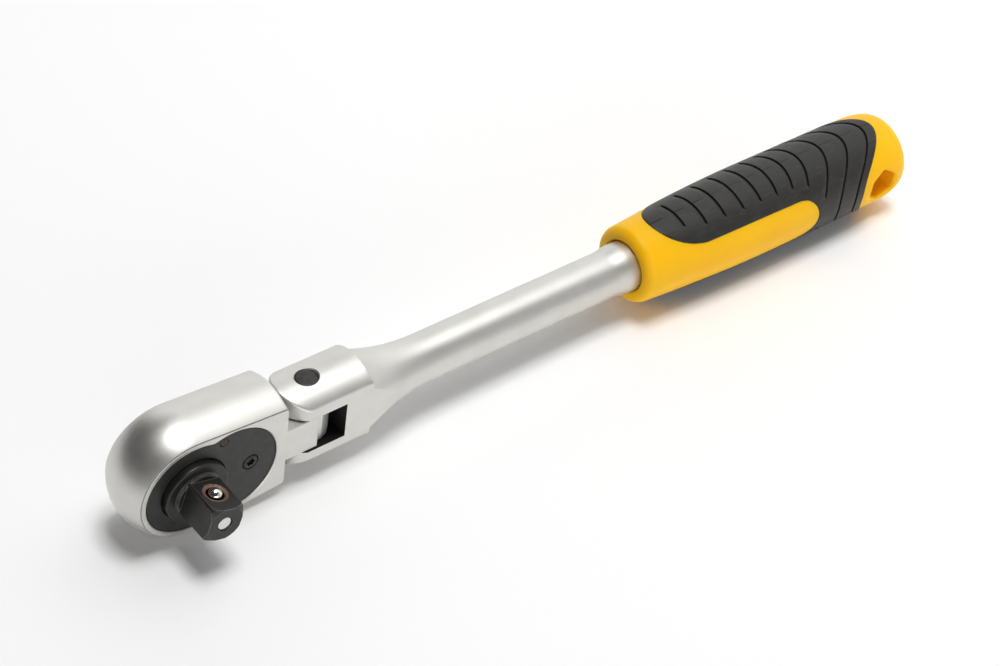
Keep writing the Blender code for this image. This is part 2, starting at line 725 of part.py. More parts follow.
def make_cover(drive, lever):
    plate = prism("cover_plate", plate_outline(PLATE_RADIUS), PLATE_FRONT, PLATE_BACK, drive)
    above = PLATE_FRONT - PLATE_THICKNESS
    below = PLATE_BACK + PLATE_THICKNESS
    cut(plate, rod("plate_drive_hole", BOSS_RADIUS + RUN_GAP, above, below, drive))
    head_seat = PLATE_FRONT + SCREW_HEAD_HEIGHT + SEAT_GAP / 2
    hole = SCREW_HEAD_RADIUS + RUN_GAP
    cut(plate, rod("plate_counterbore", hole, above, head_seat, lever, facets=SMALL_FACETS))
    hole = SCREW_RADIUS + RUN_GAP
    cut(plate, rod("plate_screw_hole", hole, above, below, lever, facets=SMALL_FACETS))
    black_oxide(plate)

    tip = PAWL_POCKET_FRONT - SEAT_GAP
    under_head = PLATE_FRONT + SCREW_HEAD_HEIGHT
    profile = [(PLATE_FRONT, 0), (PLATE_FRONT, SCREW_HEAD_RADIUS), (under_head, SCREW_HEAD_RADIUS)]
    profile += [(under_head, SCREW_RADIUS), (tip, SCREW_RADIUS), (tip, 0)]
    screw = turned("cover_screw", profile, lever, facets=SMALL_FACETS)
    socket = circle((0, 0), SCREW_SOCKET, 6)
    cut(screw, prism("screw_socket", socket, above, PLATE_FRONT + SCREW_SOCKET_DEPTH, lever))
    black_oxide(screw)

    for name, height in (("upper", DOWEL_HEIGHT), ("lower", -DOWEL_HEIGHT)):
        spot = (DOWEL_ALONG, height)
        radius = DOWEL_RADIUS + RUN_GAP
        cut(plate, rod("plate_dowel_" + name, radius, above, below, drive, facets=SMALL_FACETS, at=spot))
        end = LEDGE + DOWEL_DEPTH
        dowel = rod("dowel_pin_" + name, DOWEL_RADIUS, PLATE_FRONT, end, drive, facets=SMALL_FACETS, at=spot)
        finish(dowel, (0.14, 0.10, 0.07), 0.4, 1.0)


# Drive and quick release

def make_drive(drive):
    gear = prism("drive_gear", gear_outline(0.0, 0.0), GEAR_FRONT, GEAR_BACK, drive)
    inside = (GEAR_FRONT + GEAR_BACK) / 2
    body = [(SQUARE_START, 0), (SQUARE_START, NECK_RADIUS), (BOSS_END, NECK_RADIUS), (BOSS_END, BOSS_RADIUS)]
    body += [(inside, BOSS_RADIUS), (inside, JOURNAL_RADIUS), (JOURNAL_END, JOURNAL_RADIUS), (JOURNAL_END, 0)]
    join(gear, turned("drive_body", body, drive))
    join(gear, make_square(drive))

    # Stepped bore: plunger, spring and button, with a groove for the retaining ring
    flange = BUTTON_FLANGE + RUN_GAP
    groove = flange + RING_GRIP
    beyond = JOURNAL_END + RING_COVER
    bore = [(SPRING_SEAT, 0), (SPRING_SEAT, flange), (RING_FRONT - RUN_GAP, flange)]
    bore += [(RING_FRONT - RUN_GAP, groove), (RING_BACK + RUN_GAP, groove), (RING_BACK + RUN_GAP, flange)]
    bore += [(beyond, flange), (beyond, 0)]
    cut(gear, turned("button_bore", bore, drive))
    hole = PLUNGER_RADIUS + RUN_GAP
    past = SQUARE_END - SQUARE_CHAMFER
    cut(gear, rod("plunger_bore", hole, past, SPRING_SEAT + SEAT_GAP, drive, facets=SMALL_FACETS))
    hole = BALL_RADIUS + RUN_GAP
    flank = SQUARE / 2
    well = [(0, hole), (flank - BALL_DISH, hole), (flank + BALL_DISH, hole + 4 * BALL_DISH)]
    ball_hole = turned("ball_hole", well, drive, "X", SMALL_FACETS)
    ball_hole.location = (0, BALL_LEVEL, 0)
    ball_hole.rotation_euler = (0, -BALL_ANGLE, 0)
    cut(gear, ball_hole)
    black_oxide(gear)
    make_release(drive)


def make_square(drive):
    """The square with its turned corners, its coned end and the round neck that it grows from."""
    half = SQUARE / 2
    corner = half * math.sqrt(2)
    start = (SQUARE_START + BOSS_END) / 2
    outline = arc((0, 0), corner, SQUARE_ROLL + math.pi / 4, SQUARE_ROLL + math.pi / 4 + math.tau, 4)[:-1]
    square = prism("square", outline, SQUARE_END, start, drive)
    cone = [(SQUARE_END - SQUARE_CHAMFER, 0), (SQUARE_END - SQUARE_CHAMFER, half)]
    cone += [(SQUARE_END, half + SQUARE_CHAMFER / 6), (SQUARE_END + SQUARE_CHAMFER, SQUARE_CORNER)]
    cone += [(BOSS_END, SQUARE_CORNER), (BOSS_END, 0)]
    keep_inside(square, turned("square_turning", cone, drive))
    return square


def plunger_radius(depth):
    """Radius that the ball leaves free on the plunger, as the plunger slides and the ball sinks."""
    free = PLUNGER_RADIUS
    keep_off = BALL_RADIUS + RUN_GAP / 4
    steps = 40
    for i in range(steps + 1):
        pressed = RELEASE_TRAVEL * i / steps
        sunk = BALL_RETRACT * i / steps
        across = depth - (BALL_LEVEL + pressed)
        if abs(across) < keep_off:
            free = min(free, BALL_REST - sunk - math.sqrt(keep_off ** 2 - across ** 2))
    return free


def make_release(drive):
    low = BALL_LEVEL - BALL_RADIUS
    high = BALL_LEVEL + RELEASE_TRAVEL + BALL_RADIUS
    stub_start = BUTTON_UNDER
    stub_end = BUTTON_SHOULDER
    front = SQUARE_END + PLUNGER_SINK
    profile = [(front, 0), (front, PLUNGER_RADIUS)]
    steps = 10
    for i in range(steps + 1):
        depth = low + (high - low) * i / steps
        profile.append((depth, plunger_radius(depth)))
    profile += [(stub_start - SEAT_GAP, PLUNGER_RADIUS), (stub_start - SEAT_GAP, PLUNGER_STUB)]
    profile += [(stub_end, PLUNGER_STUB), (stub_end, 0)]
    plunger = turned("release_plunger", profile, drive, facets=SMALL_FACETS)
    bright_steel(plunger)

    top = BUTTON_TOP
    button = [(BUTTON_UNDER, 0), (BUTTON_UNDER, BUTTON_FLANGE), (BUTTON_SHOULDER, BUTTON_FLANGE)]
    button += [(BUTTON_SHOULDER, BUTTON_RADIUS)]
    for i in range(5):
        angle = math.pi / 2 * i / 4
        radius = BUTTON_RADIUS - BUTTON_ROUND * (1 - math.cos(angle))
        button.append((top - BUTTON_ROUND * (1 - math.sin(angle)), radius))
    button.append((top, 0))
    cap = turned("release_button", button, drive, facets=SMALL_FACETS)
    stub_bore = PLUNGER_STUB + SEAT_GAP
    stub_top = stub_end + SEAT_GAP
    stub_start = BUTTON_UNDER - SEAT_GAP
    cut(cap, rod("button_bore_blind", stub_bore, stub_start, stub_top, drive, facets=SMALL_FACETS))
    bright_steel(cap)

    # The retaining ring sits in the bore's groove over the button's flange
    ring_in = BUTTON_RADIUS + RUN_GAP
    ring_out = BUTTON_FLANGE + RING_GRIP
    section = [(RING_FRONT, ring_in), (RING_FRONT, ring_out), (RING_BACK, ring_out), (RING_BACK, ring_in)]
    ring = turned("button_ring", section, drive, facets=SMALL_FACETS, ring=True)
    spring_steel(ring)

    mean = (PLUNGER_RADIUS + BUTTON_FLANGE) / 2
    low = SPRING_SEAT + SEAT_GAP
    high = low + RELEASE_SPRING_LENGTH
    coil = spring("release_spring", mean, RELEASE_WIRE, RELEASE_TURNS, low, high, drive, "Y")
    spring_steel(coil)

    work = bmesh.new()
    bmesh.ops.create_uvsphere(work, u_segments=SMALL_FACETS, v_segments=10, radius=BALL_RADIUS)
    ball = shape("detent_ball", work, drive)
    ball.location = (BALL_REST * math.cos(BALL_ANGLE), BALL_LEVEL, BALL_REST * math.sin(BALL_ANGLE))
    finish(ball, (0.85, 0.84, 0.82), 0.08, 1.0)


# Reversing lever and pawl

def make_lever(turned_lever, seal_axis):
    groove = LEVER_SHAFT - CLIP_GROOVE
    seal_groove = LEVER_SHAFT - 2 * SEAL_WIRE + RUN_GAP / 2
    seal_level = HEAD_BACK - SEAL_DEPTH
    seal_half = SEAL_WIRE + RUN_GAP / 2
    profile = [(LEVER_SHAFT_END, 0), (LEVER_SHAFT_END, LEVER_SHAFT), (CLIP_FRONT - RUN_GAP / 2, LEVER_SHAFT)]
    profile += [(CLIP_FRONT - RUN_GAP / 2, groove), (CLIP_BACK + RUN_GAP / 2, groove)]
    profile += [(CLIP_BACK + RUN_GAP / 2, LEVER_SHAFT), (seal_level - seal_half, LEVER_SHAFT)]
    profile += [(seal_level - seal_half, seal_groove), (seal_level + seal_half, seal_groove)]
    profile += [(seal_level + seal_half, LEVER_SHAFT), (LEVER_UNDER, LEVER_SHAFT), (LEVER_UNDER, LEVER_DISC)]
    easing = LEVER_THICKNESS / 3
    profile += [(LEVER_TOP - easing, LEVER_DISC), (LEVER_TOP, LEVER_DISC - easing), (LEVER_TOP, 0)]
    lever = turned("reversing_lever", profile, turned_lever, facets=LEVER_FACETS)
    join(lever, make_lever_tab(turned_lever))
    level = (PAWL_FRONT + PAWL_BACK) / 2
    bore_start = LEVER_PLUNGER - LEVER_SHAFT
    hole = LEVER_PLUNGER + RUN_GAP
    past = 2 * LEVER_SHAFT
    cut(lever, rod("lever_cross_bore", hole, bore_start, past, turned_lever, "X", SMALL_FACETS, (level, 0)))
    finish(lever, (0.70, 0.70, 0.69), 0.35, 1.0)

    spring_start = bore_start + RUN_GAP
    spring_end = spring_start + LEVER_SPRING_LENGTH
    mean = LEVER_PLUNGER - 1.5 * LEVER_WIRE
    coil = spring("lever_spring", mean, LEVER_WIRE, LEVER_TURNS, spring_start, spring_end, turned_lever, "X")
    coil.location = (0, level, 0)
    spring_steel(coil)

    start = spring_end + RUN_GAP
    tip = start + LEVER_PLUNGER_LENGTH
    profile = [(start, 0), (start, LEVER_PLUNGER)]
    steps = 5
    for i in range(steps + 1):
        angle = math.pi / 2 * i / steps
        along = tip - LEVER_PLUNGER * (1 - math.sin(angle))
        profile.append((along, LEVER_PLUNGER * math.cos(angle) if i < steps else 0))
    plunger = turned("lever_plunger", profile, turned_lever, "X", SMALL_FACETS, (level, 0))
    bright_steel(plunger)

    clip_in = groove + RUN_GAP / 2
    outline = arc((0, 0), CLIP_RADIUS, CLIP_MOUTH / 2, math.tau - CLIP_MOUTH / 2, 24)
    outline += arc((0, 0), clip_in, math.tau - CLIP_MOUTH / 2, CLIP_MOUTH / 2, 24)
    clip = prism("lever_clip", outline, CLIP_FRONT, CLIP_BACK, turned_lever)
    spring_steel(clip)

    middle = LEVER_SHAFT - SEAL_WIRE + 3 * RUN_GAP / 4
    section = circle((seal_level, middle), SEAL_WIRE, 6)
    seal = turned("lever_seal", section, seal_axis, facets=SMALL_FACETS, ring=True)
    finish(seal, (0.02, 0.02, 0.02), 0.6, 0.0)


def make_lever_tab(turned_lever):
    """The thumb tab: a tapered tongue that stands a little above the disc."""
    reach = LEVER_TAB_REACH - LEVER_TAB_END
    rings = []
    easing = LEVER_THICKNESS / 4
    top = LEVER_TOP + LEVER_TAB_RISE
    for depth, inset in ((LEVER_UNDER, 0), (top - easing, 0), (top, easing)):
        half = [(0, LEVER_TAB_ROOT - inset)]
        half += arc((reach, 0), LEVER_TAB_END - inset, math.pi / 2, 0, 6)
        outline = half + [(x, -z) for x, z in reversed(half[:-1])]
        rings.append([(x, depth, z) for x, z in outline])
    return loft("lever_tab", rings, turned_lever)


def make_pawl(pivot):
    pawl = prism("pawl", pawl_outline(0.0, GEAR_TIP - 2 * TOOTH_DEPTH), PAWL_FRONT, PAWL_BACK, pivot)
    low = PAWL_FRONT - PAWL_THICKNESS
    high = PAWL_BACK + PAWL_THICKNESS
    for name, lean in (("upper", PAWL_ROCK / 2), ("lower", -PAWL_ROCK / 2)):
        teeth = prism("pawl_teeth_" + name, gear_outline(TOOTH_CLEARANCE, -LEVER_DISTANCE), low, high, pivot)
        teeth.rotation_euler = (0, lean, 0)
        cut(pawl, teeth)
    gear = (-LEVER_DISTANCE, 0)
    bare = [gear] + arc(gear, GEAR_TIP + 2 * TOOTH_DEPTH, -PAWL_BARE, PAWL_BARE, 12)
    cut(pawl, prism("pawl_bare", bare, low, high, pivot))

    # The opening turns on the lever's shaft and has a flat wall for the sprung plunger
    opening = LEVER_SHAFT + RUN_GAP
    meet = math.asin(min(1, PAWL_WALL_MEET / opening))
    outline = arc((0, 0), opening, meet, math.tau - meet, 28)
    outline += [(PAWL_WALL, -PAWL_WALL_HALF), (PAWL_WALL, PAWL_WALL_HALF)]
    cut(pawl, prism("pawl_opening", outline, low, high, pivot))
    finish(pawl, (0.38, 0.37, 0.36), 0.4, 1.0)


def main():
    for thing in list(bpy.data.objects):
        bpy.data.objects.remove(thing, do_unlink=True)

    # The tool's box, which puts the origin under its middle
    outermost = [point for ring in head_rings() for point in ring]
    nose_end = min(x for x, y, z in outermost)
    lowest = min(z for x, y, z in outermost)
    grip_end = GRIP_END + END_DOME
    widest = GRIP_BELLY_RADIUS + SLEEVE_PROUD
    back_end = max(LEVER_TOP + LEVER_TAB_RISE, widest)
    centre = (-(nose_end + grip_end) / 2, -(SQUARE_END + back_end) / 2, -lowest)

    root = empty("tool_axis", centre)
    head = empty("head_pivot", (0, 0, 0), root)
    drive = empty("drive_axis", (-DRIVE_DISTANCE, 0, 0), head)
    lever_spot = (LEVER_DISTANCE - DRIVE_DISTANCE, 0, 0)
    lever = empty("lever_axis", lever_spot, head)
    turned_lever = empty("lever_pivot", lever_spot, head, LEVER_SWING / 2)
    pawl_pivot = empty("pawl_pivot", lever_spot, head, -PAWL_ROCK / 2)

    make_handle(root)
    make_head(head, drive, lever)
    make_drive(drive)
    make_lever(turned_lever, lever)
    make_pawl(pawl_pivot)


main()
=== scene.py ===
"""The looks of the flex head ratchet: fine surfaces, finishes, floor, light and camera.

Metres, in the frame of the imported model. Shapes are drawn about the hinge, drive and lever axes.
"""

import json
import math

import bmesh
import bpy
from mathutils import Matrix, Vector


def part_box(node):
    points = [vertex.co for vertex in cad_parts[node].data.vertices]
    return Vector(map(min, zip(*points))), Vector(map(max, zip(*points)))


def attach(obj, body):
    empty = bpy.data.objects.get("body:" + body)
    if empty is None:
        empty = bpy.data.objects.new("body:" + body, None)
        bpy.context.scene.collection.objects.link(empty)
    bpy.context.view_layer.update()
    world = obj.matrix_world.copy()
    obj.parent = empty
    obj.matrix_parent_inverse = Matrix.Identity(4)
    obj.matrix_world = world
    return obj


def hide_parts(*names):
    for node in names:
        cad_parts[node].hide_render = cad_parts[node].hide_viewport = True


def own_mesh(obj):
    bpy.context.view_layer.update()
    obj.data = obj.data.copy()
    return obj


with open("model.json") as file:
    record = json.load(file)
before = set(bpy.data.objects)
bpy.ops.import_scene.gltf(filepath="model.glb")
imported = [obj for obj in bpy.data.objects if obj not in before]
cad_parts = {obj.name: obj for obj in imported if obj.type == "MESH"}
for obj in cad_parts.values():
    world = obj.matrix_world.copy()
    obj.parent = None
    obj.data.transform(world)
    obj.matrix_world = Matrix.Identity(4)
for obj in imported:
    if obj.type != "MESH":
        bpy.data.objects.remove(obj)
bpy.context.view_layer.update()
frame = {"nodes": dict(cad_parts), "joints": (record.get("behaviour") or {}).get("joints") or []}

PIVOTS = {joint["name"]: Vector(joint["pos_m"]) for joint in frame["joints"] if "pos_m" in joint}
HINGE = PIVOTS["head_flex"]
DRIVE = PIVOTS["drive_spin"]
LEVER = PIVOTS["lever_turn"]

# How finely round shapes are drawn
FACETS = 96
MID_FACETS = 64
SMALL_FACETS = 48
TINY_FACETS = 32
LEVER_FACETS = 72
SHAFT_FACETS = 120
GRIP_FACETS = 144
SQUARE_FACETS = 160
CORNER_STEPS = 6
NOSE_STEPS = 44
LOBE_STEPS = 36
WAIST_STEPS = 10
EAR_STEPS = 47
EASE_STEPS = 5
CROWN_STEPS = 16
TAB_STEPS = 4
NECK_STEPS = 40
SHAFT_STEPS = 8
FLARE_STEPS = 12
SMOOTH_ANGLE = math.radians(32)
FACET_ANGLE = math.radians(20)
PAD_SMOOTH_ANGLE = math.radians(40)
NEARLY_ZERO = 1e-9
# A face that looks along an axis has at least this much of its normal there
FACING = 0.9
HALF_FACING = 0.5
# Ways along and across a turned profile
ALONG = (1, 0)
OUT = (0, 1)
IN = (0, -1)

# Head: outline, crown and the levels of its faces from the hinge's middle plane
DRIVE_DISTANCE = HINGE.x - DRIVE.x
HEAD_REAR = 0.0110
NOSE_RADIUS = 0.0150
REAR_HALF_HEIGHT = 0.0132
NOSE_SWELL = 0.0026
REAR_SWELL = 0.0025
FRONT_FACE = -0.0082
HEAD_BACK = 0.0094
BACK_ROUND = 0.0025
BACK_LEAN = math.radians(37)
REAR_CORNER = 0.0008
FRONT_EASE = 0.00028
POCKET_FLOOR = 0.0040
GEAR_POCKET = 0.0112
JOURNAL_RADIUS = 0.0065
TANG_HALF_HEIGHT = 0.0053
TANG_HALF_DEPTH = 0.0080
TANG_END = 0.0010
BARREL_RADIUS = 0.0065
BARREL_SIDES = 16
RUN_GAP = 0.0002

# Cover plate, screw and locating pins
PLATE_RADIUS = 0.0134
PLATE_LOBE = 0.0108
PLATE_WAIST_FILLET = 0.0030
PLATE_FRONT = -0.0079
PLATE_BACK = -0.0065
LEDGE = -0.0062
PLATE_EASE = 0.00022
PLATE_EASE_BEND = 0.3
RECESS_CHAMFER = 0.00025
SCREW_HEAD_RADIUS = 0.0021
SCREW_HEAD_HEIGHT = 0.0009
SCREW_SEAT = PLATE_FRONT + SCREW_HEAD_HEIGHT
SCREW_SOCKET = 0.0011
SCREW_SOCKET_DEPTH = 0.0006
STAR_POINTS = 6
STAR_DEPTH = 0.13
DOWEL_RADIUS = 0.00115
DOWEL_ALONG = 0.0085
DOWEL_HEIGHT = 0.0112

# Drive, ball and quick release
TEETH = 72
GEAR_TIP = 0.0105
TOOTH_DEPTH = 0.00045
TOOTH_ROOT = 0.4
TOOTH_TIP = 0.1
GEAR_FRONT = LEDGE
GEAR_BACK = 0.0037
BOSS_RADIUS = 0.0090
BOSS_END = -0.0099
BOSS_EASE = 0.0007
NECK_RADIUS = 0.0063
SQUARE_START = -0.0107
SQUARE_END = -0.0219
SQUARE = 0.00953
SQUARE_CORNER = 0.0064
SQUARE_CHAMFER = 0.0012
SQUARE_CONE = (1, 0.8)
SQUARE_ROLL = math.radians(-15)
JOURNAL_END = 0.0091
BUTTON_BORE = 0.0046
BUTTON_FLOOR = -0.0030
PLUNGER_RADIUS = 0.0019
PLUNGER_SINK = 0.0003
BALL_RADIUS = 0.0019
BALL_LEVEL = -0.0154
BALL_REST = 0.004065
BALL_ANGLE = SQUARE_ROLL + math.pi / 2
BALL_WELL = 0.0024
BALL_DISH = 0.0034
BALL_DISH_DEPTH = 0.0004
BUTTON_FLANGE = 0.0044
BUTTON_RADIUS = 0.0037
BUTTON_TOP = 0.0112
BUTTON_ROUND = 0.0008

# Reversing lever
LEVER_UNDER = 0.0097
LEVER_TOP = 0.0118
LEVER_DISC = 0.0058
LEVER_SHAFT = 0.0032
LEVER_TAB_REACH = 0.0098
LEVER_TAB_END = 0.0024
LEVER_TAB_ROOT = 0.0046
LEVER_TAB_RISE = 0.0008
LEVER_EASE = 0.0006
LEVER_LINES = 3
LEVER_REST = math.radians(25)

# Springs between their seats and the pieces that press on them
INDEX_COIL = 0.0016
INDEX_WIRE = 0.0004
INDEX_TURNS = 6
RELEASE_COIL = 0.00315
RELEASE_WIRE = 0.00035
RELEASE_TURNS = 4
COIL_STEPS = 16
WIRE_FACETS = 10

# Shaft, fork and hinge pin
FORK_RADIUS = 0.0094
FORK_HALF_WIDTH = 0.0084
FORK_CROWN = 0.0122
FORK_LENGTH = 0.0155
FORK_EASE = 0.0006
SLOT_WALL = 0.0073
SLOT_GAP = 0.0004
NECK_START = 0.0110
NECK_LENGTH = 0.0230
NECK_CURVE = 2.2
SHAFT_RADIUS = 0.0067
SHAFT_GROWTH = 0.0001
FLARE_LENGTH = 0.0080
FLARE_RADIUS = 0.0074
FLARE_SHARE = 0.75
SHAFT_IN_GRIP = 0.0800
PIN_RADIUS = 0.0030
PIN_SINK = 0.0004
PIN_CHAMFER = 0.00045

# Grip
GRIP_START = 0.1085
GRIP_LENGTH = 0.1025
GRIP_END = GRIP_START + GRIP_LENGTH
GRIP_FRONT_RADIUS = 0.0113
GRIP_BELLY_RADIUS = 0.0135
GRIP_BELLY = 0.0500
GRIP_REAR_RADIUS = 0.0134
COLLAR_ROUND = 0.0023
END_LENGTH = 0.0085
END_DROP = 0.0022
END_DOME = 0.0008
COLLAR_MOUTH = 0.0007
MOUTH_LEAN = (1.5, -2)
SLEEVE_START = GRIP_START + 0.0075
SLEEVE_END = GRIP_END - 0.0070
SLEEVE_THICKNESS = 0.0016
SLEEVE_PROUD = 0.0002
SLEEVE_EASE = 0.0005
MOULD_GAP = 0.00004
PAD_ROW_STEP = 0.0014
PAD_COLUMN_STEP = math.radians(3.2)
PAD_WELD = 0.000004
PAD_NOSE = 0.0170
PAD_HALF_ANGLE = math.radians(56)
WINDOW_END = GRIP_START + 0.0572
BAND_BOW = 0.0120
BOW_START = GRIP_START + 0.0420
BOW_POWER = 2.4
RIB_DEPTH = 0.0007
RIB_RAMP = 0.0036
RIB_CURVE = 6
RIB_WALL = 0.00010
# Rows of points by each groove's wall, counted in wall widths
RIB_ROWS = (-8, -4, -2, 0, 1, 4)
RIB_COUNT = 8
RIB_FIRST_ANGLE = math.radians(25)
RIB_ANGLE = math.radians(34)
RIB_ANGLE_GROWTH = math.radians(0.9)
LAST_RIB_ANGLE = math.radians(44)
LONG_RIB_ANGLE = math.radians(67)
RIB_SIDE = math.radians(2.0)
TAIL_PITCH = 0.0090
REAR_BAND = SLEEVE_END - 0.0040
FRONT_BAND = REAR_BAND - TAIL_PITCH
LONG_RIB = FRONT_BAND - TAIL_PITCH
FIRST_RIB = SLEEVE_START + 0.0092
LAST_RIB = LONG_RIB - TAIL_PITCH
SEAM_ANGLE = math.radians(0.9)
SEAM_DEPTH = 0.00016
HANG_HOLE = 0.0054
HANG_HOLE_ROUND = 0.0012
HANG_HOLE_FROM_END = 0.0101
HANG_RIM = 0.0010

# Light: a softbox overhead, a pale ceiling, walls round the right from back to front, and a dark room
FLOOR_REACH = 12.0
FLOOR_GAP = 0.00003
FLOOR_TRIES = 60
FLOOR_COLOUR = 0.97
ROOM_LEVEL = 0.05
KEY_AT = Vector((0.0, -0.05, 1.50))
KEY_SIZE = 0.50
KEY_LEVEL = 16.0
CEILING_AT = Vector((0.55, 0.15, 1.25))
CEILING_SIZE = 1.3
CEILING_LEVEL = 1.15
WALL_DISTANCE = 1.3
WALL_WIDTH = 1.5
TALL_WALL = 1.0
LOW_WALL = 0.5
# Each wall's azimuth in degrees, height and level
WALLS = ((60, TALL_WALL, 1.1), (0, TALL_WALL, 0.9), (-55, TALL_WALL, 0.4), (-110, LOW_WALL, 2.5))

# Camera, solved from the photo
CAMERA_FROM_HINGE = Vector((-0.25693, -0.32386, 0.41187))
CAMERA_FORWARD = Vector((0.5211, 0.5240, -0.6737))
CAMERA_UP = Vector((0.3543, 0.5853, 0.7293))
FOCAL_PIXELS = 2281.2
IMAGE_WIDTH = 1000
SENSOR = 36.0
NEAREST = 0.01


# Shape helpers

def arc(centre, radius, start, end, steps):
    """Points of a circular arc in a plane, both ends included."""
    points = []
    for i in range(steps + 1):
        angle = start + (end - start) * i / steps
        points.append((centre[0] + radius * math.cos(angle), centre[1] + radius * math.sin(angle)))
    return points


def circle(radius, steps, centre=(0, 0), start=0):
    return arc(centre, radius, start, start + math.tau, steps)[:-1]


def shares(steps, first=0):
    """Even steps up to 1."""
    return [i / steps for i in range(first, steps + 1)]


def place(axis, along, a, b):
    """A point from its distance along an axis and its place across it."""
    if axis == "X":
        return (along, a, b)
    if axis == "Y":
        return (a, along, b)
    return (a, b, along)


def mirrored(half):
    """A closed outline from its upper half, mirrored below the line of symmetry."""
    inner = [point for point in half if abs(point[1]) > NEARLY_ZERO]
    return half + [(x, -z) for x, z in reversed(inner)]


def link(name, work, at):
    """An object from a bmesh, with its faces pointing out, placed at a pivot."""
    bmesh.ops.recalc_face_normals(work, faces=work.faces)
    mesh = bpy.data.meshes.new(name)
    work.to_mesh(mesh)
    work.free()
    made = bpy.data.objects.new(name, mesh)
    made.location = at
    bpy.context.scene.collection.objects.link(made)
    return made


def loft(name, rings, at):
    """Skins rings of equal count, or single points at the ends, and caps the ends that are rings."""
    work = bmesh.new()
    rows = [[work.verts.new(point) for point in ring] for ring in rings]
    for row in (rows[0], rows[-1]):
        if len(row) > 1:
            work.faces.new(row)
    for low, high in zip(rows, rows[1:]):
        count = max(len(low), len(high))
        for i in range(count):
            following = (i + 1) % count
            corners = [low[i % len(low)], low[following % len(low)]]
            corners += [high[following % len(high)], high[i % len(high)]]
            work.faces.new(list(dict.fromkeys(corners)))
    return link(name, work, at)


def prism(name, outline, low, high, at, axis="Y"):
    return loft(name, [[place(axis, along, a, b) for a, b in outline] for along in (low, high)], at)


def turned(name, profile, at, axis="Y", facets=FACETS, centre=(0, 0)):
    """A profile of (along, radius) pairs turned about an axis, capped where it ends off the axis."""
    rings = []
    for along, radius in profile:
        count = facets if radius > 0 else 1
        rings.append([place(axis, along, a, b) for a, b in circle(radius, count, centre)])
    return loft(name, rings, at)


def rod(name, radius, low, high, at, axis="Y", facets=FACETS):
    return turned(name, [(low, radius), (high, radius)], at, axis, facets)


def eased(corner, radius, before, after, steps=4):
    """A corner of a profile, rounded between the directions of its two edges."""
    points = []
    start = Vector(corner) - Vector(before).normalized() * radius
    end = Vector(corner) + Vector(after).normalized() * radius
    for t in shares(steps):
        point = start * (1 - t) ** 2 + Vector(corner) * 2 * t * (1 - t) + end * t ** 2
        points.append(tuple(point))
    return points


def mouth(face, radius, end, chamfer):
    """The profile of a hole from its chamfered mouth in a face to its end."""
    return [(face - chamfer, radius + 2 * chamfer), (face + chamfer, radius), (end, radius)]


def filled(stops, step):
    """Stops in order, with even ones between them that are no further apart than a step."""
    stops = sorted(stops)
    made = []
    for first, second in zip(stops, stops[1:]):
        count = max(1, math.ceil((second - first) / step))
        made += [first + (second - first) * i / count for i in range(count)]
    return made + [stops[-1]]


def close_grid(work, grid):
    """Faces of a hollow ring, from columns of (outer, inner) points round it, closed at both ends."""
    for first, second in zip(grid, grid[1:] + grid[:1]):
        for i in range(len(first) - 1):
            for side in (0, 1):
                work.faces.new((first[i][side], first[i + 1][side], second[i + 1][side], second[i][side]))
        for i in (0, len(first) - 1):
            work.faces.new((first[i][0], first[i][1], second[i][1], second[i][0]))


def combine(target, tool, operation):
    """Applies one Boolean to the target's mesh and removes the tool."""
    modifier = target.modifiers.new("combine", "BOOLEAN")
    modifier.operation = operation
    modifier.solver = "EXACT"
    modifier.object = tool
    graph = bpy.context.evaluated_depsgraph_get()
    mesh = bpy.data.meshes.new_from_object(target.evaluated_get(graph))
    target.modifiers.clear()
    spent = (target.data, tool.data)
    target.data = mesh
    bpy.data.objects.remove(tool)
    for old in spent:
        bpy.data.meshes.remove(old)


def cut(target, *tools):
    for tool in tools:
        combine(target, tool, "DIFFERENCE")


def join(target, *tools):
    for tool in tools:
        combine(target, tool, "UNION")


def finish(piece, body, node, slot, look=None, angle=SMOOTH_ANGLE):
    """Shades a piece, gives it its finish, puts it under the body that carries it and hides the CAD node
    it stands in for.
    """
    piece.data.materials.clear()
    piece.data.materials.append(FINISHES[look or slot])
    piece.data.shade_smooth()
    piece.data.set_sharp_from_angle(angle=angle)
    weights = piece.modifiers.new("even_normals", "WEIGHTED_NORMAL")
    weights.keep_sharp = True
    weights.mode = "FACE_AREA"
    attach(piece, body)
    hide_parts(node)


# Finishes

